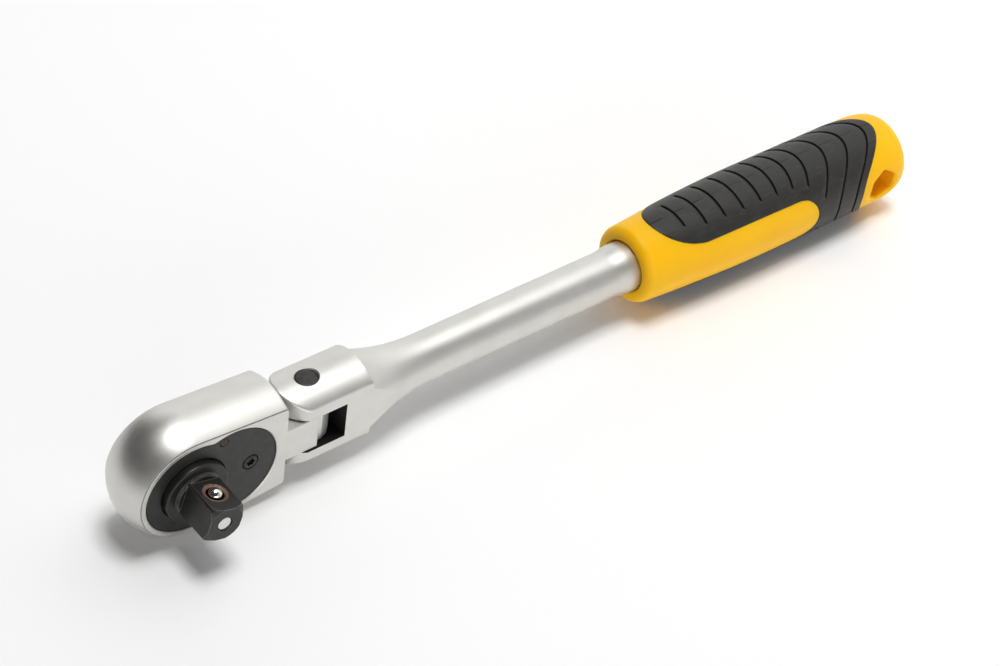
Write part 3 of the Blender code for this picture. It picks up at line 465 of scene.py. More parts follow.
class Finish:
    """A material under construction: a Principled shader and the nodes that feed it."""

    def __init__(self, name, colour, roughness, metallic):
        self.name = name
        self.material = bpy.data.materials.new(name)
        self.material.use_nodes = True
        self.tree = self.material.node_tree
        self.shader = self.tree.nodes["Principled BSDF"]
        self.put("Base Color", (*colour, 1))
        self.put("Roughness", roughness)
        self.put("Metallic", metallic)
        self.where = self.tree.nodes.new("ShaderNodeTexCoord").outputs["Object"]

    def feed(self, socket, value):
        """Links a socket to another one, or sets its value."""
        if isinstance(value, bpy.types.NodeSocket):
            self.tree.links.new(value, socket)
        else:
            socket.default_value = value

    def put(self, name, value):
        """Feeds one of the shader's own sockets."""
        self.feed(self.shader.inputs[name], value)

    def add(self, kind, **inputs):
        node = self.tree.nodes.new(kind)
        for name, value in inputs.items():
            self.feed(node.inputs[name.replace("_", " ")], value)
        return node

    def noise(self, scale, detail=2.0, roughness=0.5, stretch=None):
        """Noise of so many cells to the metre."""
        where = self.where
        if stretch:
            where = self.add("ShaderNodeMapping", Vector=where, Scale=stretch).outputs["Vector"]
        values = {"Scale": scale, "Detail": detail, "Roughness": roughness}
        return self.add("ShaderNodeTexNoise", Vector=where, **values).outputs["Fac"]

    def between(self, value, low, high, start=0.3, end=0.7):
        """A number that goes from low to high as the value goes from start to end."""
        ends = {"From_Min": start, "From_Max": end, "To_Min": low, "To_Max": high}
        return self.add("ShaderNodeMapRange", Value=value, **ends).outputs["Result"]

    def blend(self, value, first, second):
        """A colour between two, by a value from 0 to 1."""
        made = self.tree.nodes.new("ShaderNodeMix")
        made.data_type = "RGBA"
        self.feed(made.inputs["Factor"], value)
        sockets = [socket for socket in made.inputs if socket.type == "RGBA"]
        for socket, colour in zip(sockets, (first, second)):
            self.feed(socket, colour if isinstance(colour, bpy.types.NodeSocket) else (*colour, 1))
        return next(socket for socket in made.outputs if socket.type == "RGBA")

    def clouds(self, noise, first, second):
        """A colour that drifts between two with a noise."""
        return self.blend(self.between(noise, 0, 1), first, second)

    def reckon(self, kind, operation, first, second):
        """A node that works on two inputs, each a socket or a value."""
        made = self.tree.nodes.new(kind)
        made.operation = operation
        self.feed(made.inputs[0], first)
        self.feed(made.inputs[1], second)
        return made

    def vector(self, operation, first, second=(0, 0, 0)):
        return self.reckon("ShaderNodeVectorMath", operation, first, second)

    def times(self, first, second):
        made = self.reckon("ShaderNodeMath", "MULTIPLY", first, second)
        made.use_clamp = True
        return made.outputs[0]

    def edges(self, radius, low, high):
        """A mask that is 1 along edges, from how far a rounded normal leans from the true one."""
        round_normal = self.add("ShaderNodeBevel", Radius=radius)
        round_normal.samples = 6
        true_normal = self.tree.nodes.new("ShaderNodeNewGeometry").outputs["Normal"]
        lean = self.vector("DOT_PRODUCT", round_normal.outputs["Normal"], true_normal)
        return self.between(lean.outputs["Value"], 0.0, 1.0, high, low)

    def bump(self, height, depth, strength):
        """A bump of so many metres."""
        made = self.add("ShaderNodeBump", Height=height, Distance=depth, Strength=strength)
        self.put("Normal", made.outputs["Normal"])

    def grain(self, noise, low, high, depth, strength):
        """A fine grain in the gloss and in the surface."""
        self.put("Roughness", self.between(noise, low, high))
        self.bump(noise, depth, strength)


def satin_chrome():
    """Bead-blasted and plated: a fine even grain with faint cloudiness."""
    look = Finish("satin_chrome", (0.66, 0.65, 0.62), 0.44, 1.0)
    look.put("Base Color", look.clouds(look.noise(140, 3), (0.64, 0.63, 0.60), (0.68, 0.67, 0.64)))
    look.grain(look.noise(2600, 2, 0.6), 0.39, 0.49, depth=0.00002, strength=0.22)
    return look


def black_oxide(name, roughness, wear, tone):
    """Blackened steel: a satin film with cloudy depth, rubbed lighter along its edges."""
    low = tuple(tone * value for value in (0.016, 0.0155, 0.015))
    high = tuple(tone * value for value in (0.028, 0.027, 0.025))
    bare = (0.30, 0.28, 0.26)
    look = Finish(name, low, roughness, 0.3)
    film = look.clouds(look.noise(420, 4, 0.6), low, high)
    patches = look.between(look.noise(900, 3), 0.3 * wear, wear)
    look.put("Base Color", look.blend(look.times(look.edges(0.00035, 0.80, 0.99), patches), film, bare))
    grain = look.noise(3200, 2, 0.6)
    look.grain(grain, roughness - 0.06, roughness + 0.07, depth=0.000015, strength=0.25)
    return look


def drive_black():
    """The drive's black film, worn at its edges and rubbed brown in the dish round the ball."""
    look = black_oxide("drive_black", 0.40, 1.0, 0.7)
    brown = (0.17, 0.095, 0.055)
    way = (math.cos(BALL_ANGLE), 0, math.sin(BALL_ANGLE))
    offset = look.vector("SUBTRACT", look.where, (0, BALL_LEVEL, 0)).outputs["Vector"]
    across = look.vector("CROSS_PRODUCT", offset, way).outputs["Vector"]
    away = look.vector("LENGTH", across).outputs["Value"]
    facing = look.vector("DOT_PRODUCT", offset, way).outputs["Value"]
    past_well = look.between(away, 0, 1, BALL_WELL, BALL_WELL + RUN_GAP)
    in_dish = look.between(away, 1, 0, BALL_DISH - RUN_GAP, BALL_DISH)
    in_front = look.between(facing, 0, 1, 0, BALL_RADIUS)
    film = look.shader.inputs["Base Color"].links[0].from_socket
    look.put("Base Color", look.blend(look.times(look.times(past_well, in_dish), in_front), film, brown))
    return look


def dark_steel(name, low, high, roughness):
    """Dark steel with turning marks: the pins' own plain steel gone dark, and a painted shade line along
    the head's front edge.
    """
    look = Finish(name, low, roughness, 0.8)
    look.put("Base Color", look.clouds(look.noise(700, 4, 0.65), low, high))
    marks = look.noise(2600, 2, 0.5)
    look.grain(marks, roughness - 0.05, roughness + 0.10, depth=0.00002, strength=0.25)
    return look


def bright_steel(name, colour, roughness):
    """Ground or polished steel with faint clouding."""
    look = Finish(name, colour, roughness, 1.0)
    cloud = look.noise(900, 3)
    darker = tuple(0.88 * value for value in colour)
    look.put("Base Color", look.clouds(cloud, darker, colour))
    look.put("Roughness", look.between(cloud, max(0.04, roughness - 0.04), roughness + 0.05))
    look.bump(look.noise(3000, 2), depth=0.000008, strength=0.2)
    return look


def yellow_plastic():
    """Moulded plastic with a fine satin skin."""
    look = Finish("yellow_plastic", (0.99, 0.51, 0.006), 0.40, 0.0)
    look.put("Base Color", look.clouds(look.noise(60, 3), (0.97, 0.50, 0.005), (1.0, 0.525, 0.008)))
    look.grain(look.noise(2400, 3, 0.6), 0.36, 0.46, depth=0.00003, strength=0.16)
    look.put("Specular IOR Level", 0.15)
    look.put("Subsurface Weight", 0.4)
    look.put("Subsurface Radius", (0.005, 0.003, 0.0002))
    look.put("Subsurface Scale", 1.0)
    return look


def black_rubber():
    """Soft moulded rubber: a dull skin with a faint bloom and rubbed patches."""
    look = Finish("black_rubber", (0.018, 0.017, 0.016), 0.5, 0.0)
    cloud = look.noise(230, 4, 0.6)
    skin_colour = look.clouds(cloud, (0.014, 0.0132, 0.0122), (0.022, 0.021, 0.019))
    streak = look.between(look.noise(900, 3, 0.6, (0.25, 1.0, 1.0)), 0, 1, 0.55, 0.8)
    look.put("Base Color", look.blend(look.times(streak, 0.5), skin_colour, (0.06, 0.058, 0.055)))
    look.put("Roughness", look.between(cloud, 0.42, 0.56))
    look.bump(look.noise(2200, 3, 0.6), depth=0.00004, strength=0.22)
    look.put("Specular IOR Level", 0.4)
    return look


def make_finishes():
    """Every finish by its name."""
    looks = [
        satin_chrome(),
        black_oxide("black_oxide", 0.42, 0.25, 1.0),
        drive_black(),
        black_oxide("screw_black", 0.34, 0.15, 0.4),
        # Painted shade: a black film for the chrome fork's slot walls, standing in for the shade inside
        # the slot
        black_oxide("slot_painted_shade", 0.55, 0.0, 0.5),
        dark_steel("pin_steel", (0.040, 0.036, 0.034), (0.075, 0.069, 0.065), 0.38),
        dark_steel("dowel_steel", (0.04, 0.030, 0.021), (0.09, 0.067, 0.048), 0.42),
        # Painted shade: a darker tone on the head's eased front edge, standing in for the dark reflection
        # of the round-over
        dark_steel("front_edge_painted_shade", (0.22, 0.22, 0.21), (0.32, 0.32, 0.31), 0.40),
        bright_steel("bright_steel", (0.72, 0.71, 0.69), 0.24),
        bright_steel("spring_steel", (0.42, 0.41, 0.40), 0.34),
        bright_steel("ball_chrome", (0.86, 0.85, 0.83), 0.07),
        yellow_plastic(),
        black_rubber(),
    ]
    return {look.name: look.material for look in looks}


FINISHES = make_finishes()


# Head

def head_ring(depth, nose, half_height):
    """The head's outline at one depth: a nose arc, tangent sides and a rear with rounded corners."""
    reach = math.hypot(DRIVE_DISTANCE - HEAD_REAR, half_height)
    touch = math.atan2(half_height, DRIVE_DISTANCE - HEAD_REAR) + math.acos(nose / reach)
    corner = (-HEAD_REAR - REAR_CORNER, half_height - REAR_CORNER)
    half = arc(corner, REAR_CORNER, 0, math.pi / 2, CORNER_STEPS)
    half += arc((-DRIVE_DISTANCE, 0), nose, touch, math.pi, NOSE_STEPS)
    return [(x, depth, z) for x, z in mirrored(half)]


def head_rings():
    """An eased front edge, the crowned wall and the rounded back edge."""
    wall_end = HEAD_BACK - BACK_ROUND * (1 - math.sin(BACK_LEAN))
    middle = (FRONT_FACE + wall_end) / 2
    half_depth = (wall_end - FRONT_FACE) / 2

    def wall(depth, inset):
        swell = 1 - ((depth - middle) / half_depth) ** 2
        nose = NOSE_RADIUS + NOSE_SWELL * swell - inset
        return head_ring(depth, nose, REAR_HALF_HEIGHT + REAR_SWELL * swell - inset)

    rings = []
    for t in shares(EASE_STEPS)[:-1]:
        rings.append(wall(FRONT_FACE + FRONT_EASE * t ** 2, FRONT_EASE * (1 - t) ** 2))
    levels = 30
    start = FRONT_FACE + FRONT_EASE
    for i in range(levels + 1):
        rings.append(wall(start + (wall_end - start) * i / levels, 0))
    steps = 9
    for i in range(1, steps + 1):
        angle = BACK_LEAN + (math.pi / 2 - BACK_LEAN) * i / steps
        depth = wall_end + BACK_ROUND * (math.sin(angle) - math.sin(BACK_LEAN))
        drop = BACK_ROUND * (math.cos(BACK_LEAN) - math.cos(angle))
        rings.append(head_ring(depth, NOSE_RADIUS - drop, REAR_HALF_HEIGHT - drop))
    return rings


def plate_outline(radius):
    """Two equal circles joined by a filleted waist, about the drive axis."""
    fillet_height = math.sqrt((radius + PLATE_WAIST_FILLET) ** 2 - (PLATE_LOBE / 2) ** 2)
    lean = math.atan2(fillet_height, PLATE_LOBE / 2)
    waist = (PLATE_LOBE / 2, fillet_height)
    half = arc((PLATE_LOBE, 0), radius, 0, math.pi - lean, LOBE_STEPS)
    half += arc(waist, PLATE_WAIST_FILLET, -lean, lean - math.pi, WAIST_STEPS)[1:-1]
    half += arc((0, 0), radius, lean, math.pi, LOBE_STEPS)
    return mirrored(half)


def plate_loft(name, levels):
    """A loft of plate outlines from (depth, radius) pairs."""
    rings = [[(x, depth, z) for x, z in plate_outline(radius)] for depth, radius in levels]
    return loft(name, rings, DRIVE)


def make_tang():
    """The flat tang and the faceted barrel that turns on the hinge pin."""
    chamfer = RUN_GAP
    rings = []
    for height, inset in ((-TANG_HALF_HEIGHT, chamfer), (chamfer - TANG_HALF_HEIGHT, 0),
                          (TANG_HALF_HEIGHT - chamfer, 0), (TANG_HALF_HEIGHT, chamfer)):
        near = TANG_HALF_DEPTH - inset
        end = -TANG_END - inset
        root = -HEAD_REAR - 2 * REAR_CORNER
        outline = [(root, -near), (end - chamfer, -near), (end, chamfer - near)]
        outline += [(end, near - chamfer), (end - chamfer, near), (root, near)]
        rings.append([(x, y, height) for x, y in outline])
    tang = loft("tang", rings, HINGE)
    barrel = circle(BARREL_RADIUS, BARREL_SIDES, start=math.pi / BARREL_SIDES)
    join(tang, prism("barrel", barrel, -TANG_HALF_HEIGHT, TANG_HALF_HEIGHT, HINGE, "Z"))
    reach = 2 * TANG_HALF_HEIGHT
    cut(tang, rod("barrel_bore", PIN_RADIUS + RUN_GAP, -reach, reach, HINGE, "Z"))
    return tang


def make_head():
    head = loft("head_shell", head_rings(), HINGE)
    join(head, make_tang())
    cut(head, plate_loft("recess", mouth(FRONT_FACE, PLATE_RADIUS + RUN_GAP, LEDGE, RECESS_CHAMFER)))
    cut(head, rod("pocket", GEAR_POCKET, FRONT_FACE - RECESS_CHAMFER, POCKET_FLOOR, DRIVE))
    bore = JOURNAL_RADIUS + RUN_GAP
    wide = bore + 2 * RECESS_CHAMFER
    through = HEAD_BACK + BACK_ROUND
    journal = [(POCKET_FLOOR - RUN_GAP, bore), (HEAD_BACK - RECESS_CHAMFER, bore)]
    journal += [(HEAD_BACK + RECESS_CHAMFER, wide), (through, wide)]
    cut(head, turned("journal_bore", journal, DRIVE))
    cut(head, rod("lever_bore", LEVER_SHAFT + RUN_GAP, POCKET_FLOOR, through, LEVER, facets=SMALL_FACETS))
    finish(head, "head", "head_housing", "satin_chrome", angle=FACET_ANGLE)
    # Faces of the eased front edge take the darker tone: a painted shade line along the edge
    head.data.materials.append(FINISHES["front_edge_painted_shade"])
    for face in head.data.polygons:
        sideways = face.normal.y > -FACING
        at_edge = FRONT_FACE < face.center.y < FRONT_FACE + FRONT_EASE and sideways
        outside = face.normal.z * face.center.z > 0 or face.center.x < -DRIVE_DISTANCE
        if at_edge and outside and face.center.x < -HEAD_REAR:
            face.material_index = 1


def make_plate():
    bend = PLATE_EASE * PLATE_EASE_BEND
    levels = [(PLATE_FRONT, PLATE_RADIUS - PLATE_EASE), (PLATE_FRONT + bend, PLATE_RADIUS - bend)]
    levels += [(PLATE_FRONT + PLATE_EASE, PLATE_RADIUS), (PLATE_BACK, PLATE_RADIUS)]
    plate = plate_loft("cover_disc", levels)
    below = PLATE_BACK + PLATE_EASE
    rim = mouth(PLATE_FRONT, BOSS_RADIUS + RUN_GAP, below, PLATE_EASE)
    cut(plate, turned("drive_hole", rim, DRIVE))
    rim = mouth(PLATE_FRONT, SCREW_HEAD_RADIUS + RUN_GAP, SCREW_SEAT, PLATE_EASE)
    cut(plate, turned("screw_seat", rim, LEVER, facets=SMALL_FACETS))
    hole = DOWEL_RADIUS + RUN_GAP / 2
    rim = [(PLATE_FRONT - PLATE_EASE, hole + PLATE_EASE), (PLATE_FRONT + PLATE_EASE / 2, hole)]
    rim.append((below, hole))
    for height in (DOWEL_HEIGHT, -DOWEL_HEIGHT):
        cut(plate, turned("dowel_hole", rim, DRIVE, facets=TINY_FACETS, centre=(DOWEL_ALONG, height)))
    finish(plate, "head", "cover_plate", "black_oxide")


def make_screw():
    """A flush screw with a star-shaped socket."""
    seat = SCREW_SEAT - RUN_GAP
    tip = LEDGE + SCREW_HEAD_RADIUS
    shank = SCREW_HEAD_RADIUS / 2
    head = [(PLATE_FRONT, 0)]
    head += eased((PLATE_FRONT, SCREW_HEAD_RADIUS), 2 * PLATE_EASE, OUT, ALONG)
    head += [(seat, SCREW_HEAD_RADIUS), (seat, shank), (tip, shank), (tip, 0)]
    screw = turned("screw_head", head, LEVER, facets=SMALL_FACETS)
    star = []
    for i in range(SMALL_FACETS):
        angle = math.tau * i / SMALL_FACETS
        radius = SCREW_SOCKET * (1 + STAR_DEPTH * math.cos(STAR_POINTS * angle))
        star.append((radius * math.cos(angle), radius * math.sin(angle)))
    cut(screw, prism("socket", star, PLATE_FRONT - PLATE_EASE, PLATE_FRONT + SCREW_SOCKET_DEPTH, LEVER))
    finish(screw, "head", "cover_screw", "black_oxide", "screw_black")


def make_locating_pins():
    for name, height in (("upper", DOWEL_HEIGHT), ("lower", -DOWEL_HEIGHT)):
        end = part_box("dowel_pin_" + name)[1].y - DRIVE.y
        profile = [(PLATE_FRONT, 0)] + eased((PLATE_FRONT, DOWEL_RADIUS), PLATE_EASE, OUT, ALONG)
        profile += [(end, DOWEL_RADIUS), (end, 0)]
        spot = (DOWEL_ALONG, height)
        pin = turned("locating_pin_" + name, profile, DRIVE, facets=TINY_FACETS, centre=spot)
        finish(pin, "head", "dowel_pin_" + name, "dowel_steel")


# Drive and quick release

def gear_outline():
    points = []
    for tooth in range(TEETH):
        root = GEAR_TIP - TOOTH_DEPTH
        sides = ((-TOOTH_ROOT, root), (-TOOTH_TIP, GEAR_TIP), (TOOTH_TIP, GEAR_TIP), (TOOTH_ROOT, root))
        for share, radius in sides:
            angle = (tooth + share) * math.tau / TEETH
            points.append((radius * math.cos(angle), radius * math.sin(angle)))
    return points


def make_square():
    """The square with its turned corners and its coned end."""
    half = SQUARE / 2
    outline = circle(half * math.sqrt(2), 4, start=SQUARE_ROLL + math.pi / 4)
    square = prism("square", outline, SQUARE_END, (SQUARE_START + BOSS_END) / 2, DRIVE)
    cone = [(SQUARE_END - SQUARE_CHAMFER, 0), (SQUARE_END - SQUARE_CHAMFER, half)]
    cone += [(SQUARE_END, half + SQUARE_CHAMFER / 6)]
    cone += eased((SQUARE_END + SQUARE_CHAMFER, SQUARE_CORNER), SQUARE_CHAMFER / 3, SQUARE_CONE, ALONG)
    cone += [(BOSS_END, SQUARE_CORNER), (BOSS_END, 0)]
    combine(square, turned("turning", cone, DRIVE, facets=SQUARE_FACETS), "INTERSECT")
    return square


def make_drive():
    gear = prism("drive_square", gear_outline(), GEAR_FRONT, GEAR_BACK, DRIVE)
    inside = (GEAR_FRONT + GEAR_BACK) / 2
    body = [(SQUARE_START, 0), (SQUARE_START, NECK_RADIUS - BOSS_EASE / 2)]
    body += [(SQUARE_START + BOSS_EASE / 3, NECK_RADIUS), (BOSS_END - BOSS_EASE / 3, NECK_RADIUS)]
    body += [(BOSS_END, NECK_RADIUS + BOSS_EASE / 3)]
    body += eased((BOSS_END, BOSS_RADIUS), BOSS_EASE, OUT, ALONG, CORNER_STEPS)
    body += [(inside, BOSS_RADIUS), (inside, JOURNAL_RADIUS)]
    body += eased((JOURNAL_END, JOURNAL_RADIUS), RUN_GAP, ALONG, IN) + [(JOURNAL_END, 0)]
    join(gear, turned("drive_body", body, DRIVE, facets=SHAFT_FACETS), make_square())
    bore = [(BUTTON_FLOOR, BUTTON_BORE), (JOURNAL_END - RUN_GAP, BUTTON_BORE)]
    bore += [(JOURNAL_END + BOSS_EASE, BUTTON_BORE + BOSS_EASE)]
    cut(gear, turned("button_bore", bore, DRIVE, facets=MID_FACETS))
    hole = mouth(SQUARE_END, PLUNGER_RADIUS + RUN_GAP, BUTTON_FLOOR + RUN_GAP, RUN_GAP)
    cut(gear, turned("plunger_bore", hole, DRIVE, facets=SMALL_FACETS))
    flank = SQUARE / 2
    well = [(0, BALL_WELL), (flank - BALL_DISH_DEPTH, BALL_WELL), (flank, BALL_DISH)]
    well += [(flank + SQUARE_CHAMFER, BALL_DISH + SQUARE_CHAMFER)]
    ball_hole = turned("ball_hole", well, DRIVE, "X", MID_FACETS)
    ball_hole.location = DRIVE + Vector((0, BALL_LEVEL, 0))
    ball_hole.rotation_euler = (0, -BALL_ANGLE, 0)
    cut(gear, ball_hole)
    finish(gear, "drive", "drive_gear", "black_oxide", "drive_black")


def make_plunger():
    front = SQUARE_END + PLUNGER_SINK
    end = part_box("release_plunger")[1].y - DRIVE.y
    waist = (BALL_REST - BALL_RADIUS - RUN_GAP) / 2
    profile = [(front, 0)] + eased((front, PLUNGER_RADIUS), RUN_GAP, OUT, ALONG)
    profile += [(BALL_LEVEL - BALL_RADIUS, PLUNGER_RADIUS), (BALL_LEVEL, waist)]
    profile += [(end - BUTTON_FLANGE, waist), (end, waist), (end, 0)]
    pin = turned("release_pin", profile, DRIVE, facets=SMALL_FACETS)
    finish(pin, "release", "release_plunger", "bright_steel")


def make_button():
    """The flanged button on the back, with a slightly hollow top."""
    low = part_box("release_button")[0].y - DRIVE.y
    shoulder = JOURNAL_END - BUTTON_FLANGE / 2
    cap = [(low, 0), (low, BUTTON_FLANGE), (shoulder, BUTTON_FLANGE), (shoulder, BUTTON_RADIUS)]
    cap += eased((BUTTON_TOP, BUTTON_RADIUS), BUTTON_ROUND, ALONG, IN, CORNER_STEPS)
    cap += [(BUTTON_TOP - BUTTON_ROUND / 4, BUTTON_RADIUS / 3), (BUTTON_TOP - BUTTON_ROUND / 3, 0)]
    button = turned("button_cap", cap, DRIVE, facets=MID_FACETS)
    finish(button, "release", "release_button", "bright_steel")


def make_ball():
    half = arc((0, 0), BALL_RADIUS, math.pi, 0, SMALL_FACETS // 2)
    profile = [(-BALL_RADIUS, 0)] + half[1:-1] + [(BALL_RADIUS, 0)]
    spot = Vector((BALL_REST * math.cos(BALL_ANGLE), BALL_LEVEL, BALL_REST * math.sin(BALL_ANGLE)))
    ball = turned("ball", profile, DRIVE + spot, "Z", SMALL_FACETS)
    finish(ball, "ball", "detent_ball", "ball_chrome")


def make_lever():
    """The disc and thumb tab on the back, with grip lines across the tab."""
    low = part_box("reversing_lever")[0].y - LEVER.y
    profile = [(low, 0), (low, LEVER_SHAFT), (LEVER_UNDER, LEVER_SHAFT), (LEVER_UNDER, LEVER_DISC)]
    profile += eased((LEVER_TOP, LEVER_DISC), LEVER_EASE, ALONG, IN, CORNER_STEPS) + [(LEVER_TOP, 0)]
    lever = turned("thumb_lever", profile, LEVER, facets=LEVER_FACETS)
    top = LEVER_TOP + LEVER_TAB_RISE
    reach = LEVER_TAB_REACH - LEVER_TAB_END
    levels = [(LEVER_UNDER, 0)]
    for t in shares(TAB_STEPS):
        levels.append((top - LEVER_EASE * (1 - t) ** 2, LEVER_EASE * t ** 2))
    rings = []
    for depth, inset in levels:
        half = [(0, LEVER_TAB_ROOT - inset)]
        half += arc((reach, 0), LEVER_TAB_END - inset, math.pi / 2, 0, 2 * CORNER_STEPS)
        rings.append([(x, depth, z) for x, z in mirrored(half)])
    join(lever, loft("tab", rings, LEVER))
    for i in range(LEVER_LINES):
        along = reach - LEVER_EASE - 2 * LEVER_EASE * i
        corners = ((-1, 1), (0, -1), (1, 1))
        groove = [(along + side * RUN_GAP, top + rise * RUN_GAP) for side, rise in corners]
        cut(lever, prism("grip_line", groove, -LEVER_DISC, LEVER_DISC, LEVER, "Z"))
    lever.rotation_euler = (0, LEVER_REST, 0)
    finish(lever, "lever", "reversing_lever", "satin_chrome")


# Shaft and fork

def fork_outline(inset):
    """The fork's plan, drawn in by an inset: ears round the pin, flat sides and a straight shoulder."""
    radius = FORK_RADIUS - inset
    half_width = FORK_HALF_WIDTH - inset
    meet = math.acos(half_width / radius)
    end = FORK_LENGTH - inset
    outline = arc((0, 0), radius, math.pi / 2 + meet, 3 * math.pi / 2 - meet, EAR_STEPS)
    side = outline[-1][0]
    steps = shares(CROWN_STEPS, 1)
    outline += [(side + (end - side) * t, -half_width) for t in steps]
    outline += [(end, half_width * (2 * t - 1)) for t in steps]
    return outline + [(end + (side - end) * t, half_width) for t in steps[:-1]]


def fork_rings():
    """The upper half of the fork's block: its wall, an eased edge and the crowned top."""
    flat = FORK_HALF_WIDTH - 2 * FORK_EASE
    insets = [FORK_EASE * t ** 2 for t in shares(EASE_STEPS)]
    insets += [FORK_EASE + flat * t for t in shares(CROWN_STEPS, 1)]
    rings = []
    for inset in insets:
        drop = FORK_EASE * (1 - math.sqrt(min(1, inset / FORK_EASE))) ** 2
        outline = fork_outline(inset)
        rings.append([(x, y, math.sqrt(FORK_CROWN ** 2 - y ** 2) - drop) for x, y in outline])
    return rings


def neck_ring(x, radius):
    """A round section with flat flanks where it would be wider than the fork."""
    flank = FORK_HALF_WIDTH
    return [(x, max(-flank, min(flank, y)), z) for y, z in circle(radius, SHAFT_FACETS)]


def neck_rings():
    flare_start = GRIP_START - FLARE_LENGTH
    rings = [neck_ring(FORK_LENGTH - 2 * FORK_EASE, NECK_START)]
    for along in shares(NECK_STEPS):
        radius = SHAFT_RADIUS + (NECK_START - SHAFT_RADIUS) * (1 - along) ** NECK_CURVE
        rings.append(neck_ring(FORK_LENGTH + NECK_LENGTH * along, radius))
    neck_end = FORK_LENGTH + NECK_LENGTH
    for along in shares(SHAFT_STEPS, 1):
        x = neck_end + (flare_start - neck_end) * along
        rings.append(neck_ring(x, SHAFT_RADIUS + SHAFT_GROWTH * along))
    base = SHAFT_RADIUS + SHAFT_GROWTH
    for along in shares(FLARE_STEPS, 1):
        rise = along ** 2 * (3 - 2 * along)
        x = flare_start + FLARE_SHARE * FLARE_LENGTH * along
        rings.append(neck_ring(x, base + (FLARE_RADIUS - base) * rise))
    return rings + [neck_ring(GRIP_START + SHAFT_IN_GRIP, FLARE_RADIUS)]


def make_shaft():
    upper = fork_rings()
    lower = [[(x, y, -z) for x, y, z in ring] for ring in reversed(upper)]
    shaft = loft("shaft_fork", lower + upper, HINGE)
    join(shaft, loft("neck", neck_rings(), HINGE))
    slot = TANG_HALF_HEIGHT + SLOT_GAP
    wide = 2 * FORK_CROWN
    corners = [(-wide, -wide), (SLOT_WALL, -wide), (SLOT_WALL, wide), (-wide, wide)]
    cut(shaft, prism("slot", corners, -slot, slot, HINGE, "Z"))
    hole = PIN_RADIUS + RUN_GAP / 2
    rim = FORK_CROWN - PIN_CHAMFER
    bore = [(-wide, hole + PIN_CHAMFER), (-FORK_CROWN, hole + PIN_CHAMFER), (-rim, hole), (rim, hole)]
    bore += [(FORK_CROWN, hole + PIN_CHAMFER), (wide, hole + PIN_CHAMFER)]
    cut(shaft, turned("pin_bore", bore, HINGE, "Z", MID_FACETS))
    bore_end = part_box("index_spring")[1].x - HINGE.x + RUN_GAP
    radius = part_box("index_plunger")[1].z - HINGE.z + RUN_GAP
    cut(shaft, rod("index_bore", radius, SLOT_WALL / 2, bore_end, HINGE, "X", TINY_FACETS))
    finish(shaft, "handle", "handle_shaft", "satin_chrome")
    # The slot's inner walls get the black film: painted shade deep inside the slot
    shaft.data.materials.append(FINISHES["slot_painted_shade"])
    for face in shaft.data.polygons:
        inside = abs(face.center.z) < slot + RUN_GAP / 2 and face.center.x < SLOT_WALL + RUN_GAP / 2
        if inside and abs(face.normal.y) < HALF_FACING:
            face.material_index = 1


def make_pin():
    end = FORK_CROWN - PIN_SINK
    half = eased((end, PIN_RADIUS), PIN_CHAMFER, ALONG, IN) + [(end, 0)]
    profile = [(-along, radius) for along, radius in reversed(half)] + half
    pin = turned("pivot_pin", profile, HINGE, "Z", MID_FACETS)
    finish(pin, "handle", "hinge_pin", "pin_steel")


# Grip

def grip_radius(x):
    """Outer radius of the grip: a rounded collar, a swell, a slight taper and a blunt end."""
    swell = math.sin(math.pi / 2 * min(1, (x - GRIP_START) / GRIP_BELLY))
    radius = GRIP_FRONT_RADIUS + (GRIP_BELLY_RADIUS - GRIP_FRONT_RADIUS) * swell
    taper = max(0, x - GRIP_START - GRIP_BELLY) / (GRIP_LENGTH - GRIP_BELLY)
    radius -= (GRIP_BELLY_RADIUS - GRIP_REAR_RADIUS) * taper ** 2
    before = COLLAR_ROUND - (x - GRIP_START)
    if before > 0:
        radius -= COLLAR_ROUND - math.sqrt(max(0, COLLAR_ROUND ** 2 - before ** 2))
    past = (x - (GRIP_END - END_LENGTH)) / END_LENGTH
    if past > 0:
        radius -= END_DROP * (1 - math.sqrt(max(0, 1 - past ** 2)))
    return radius


def off_crest(angle):
    """How far an angle round the grip is from the nearer crest, at its top or its bottom."""
    return abs(math.asin(math.sin(angle)))


def bow_at(crest):
    """How far a line that crosses the crest there bows forward at the sides."""
    return BAND_BOW * max(0, crest - BOW_START) / (SLEEVE_END - BOW_START)


def bowed(crest, angle):
    return crest - bow_at(crest) * (1 - abs(math.cos(angle)) ** BOW_POWER)


def crest_of(x, angle):
    """The crest station of the bowed line through a station at an angle."""
    share = BAND_BOW * (1 - abs(math.cos(angle)) ** BOW_POWER) / (SLEEVE_END - BOW_START)
    return max(x, (x - share * BOW_START) / (1 - share))


def pad_start(angle):
    """Where the sleeve starts: a rounded nose on each pad, and the window's end between them."""
    off = off_crest(angle)
    if off <= PAD_HALF_ANGLE:
        return SLEEVE_START + PAD_NOSE * (1 - math.sqrt(max(0, 1 - (off / PAD_HALF_ANGLE) ** 2)))
    radius = GRIP_BELLY_RADIUS
    half_width = radius * math.cos(PAD_HALF_ANGLE)
    return WINDOW_END + math.sqrt(max(0, half_width ** 2 - (radius * math.cos(off)) ** 2))


def ribs():
    """Every groove as (crest station, reach from the crest in radians)."""
    pitch = (LAST_RIB - FIRST_RIB) / (RIB_COUNT - 1)
    found = [(FIRST_RIB, RIB_FIRST_ANGLE)]
    for i in range(1, RIB_COUNT - 1):
        found.append((FIRST_RIB + pitch * i, RIB_ANGLE + RIB_ANGLE_GROWTH * (i - 1)))
    found += [(LAST_RIB, LAST_RIB_ANGLE), (LONG_RIB, LONG_RIB_ANGLE)]
    return found + [(FRONT_BAND, math.pi), (REAR_BAND, math.pi)]


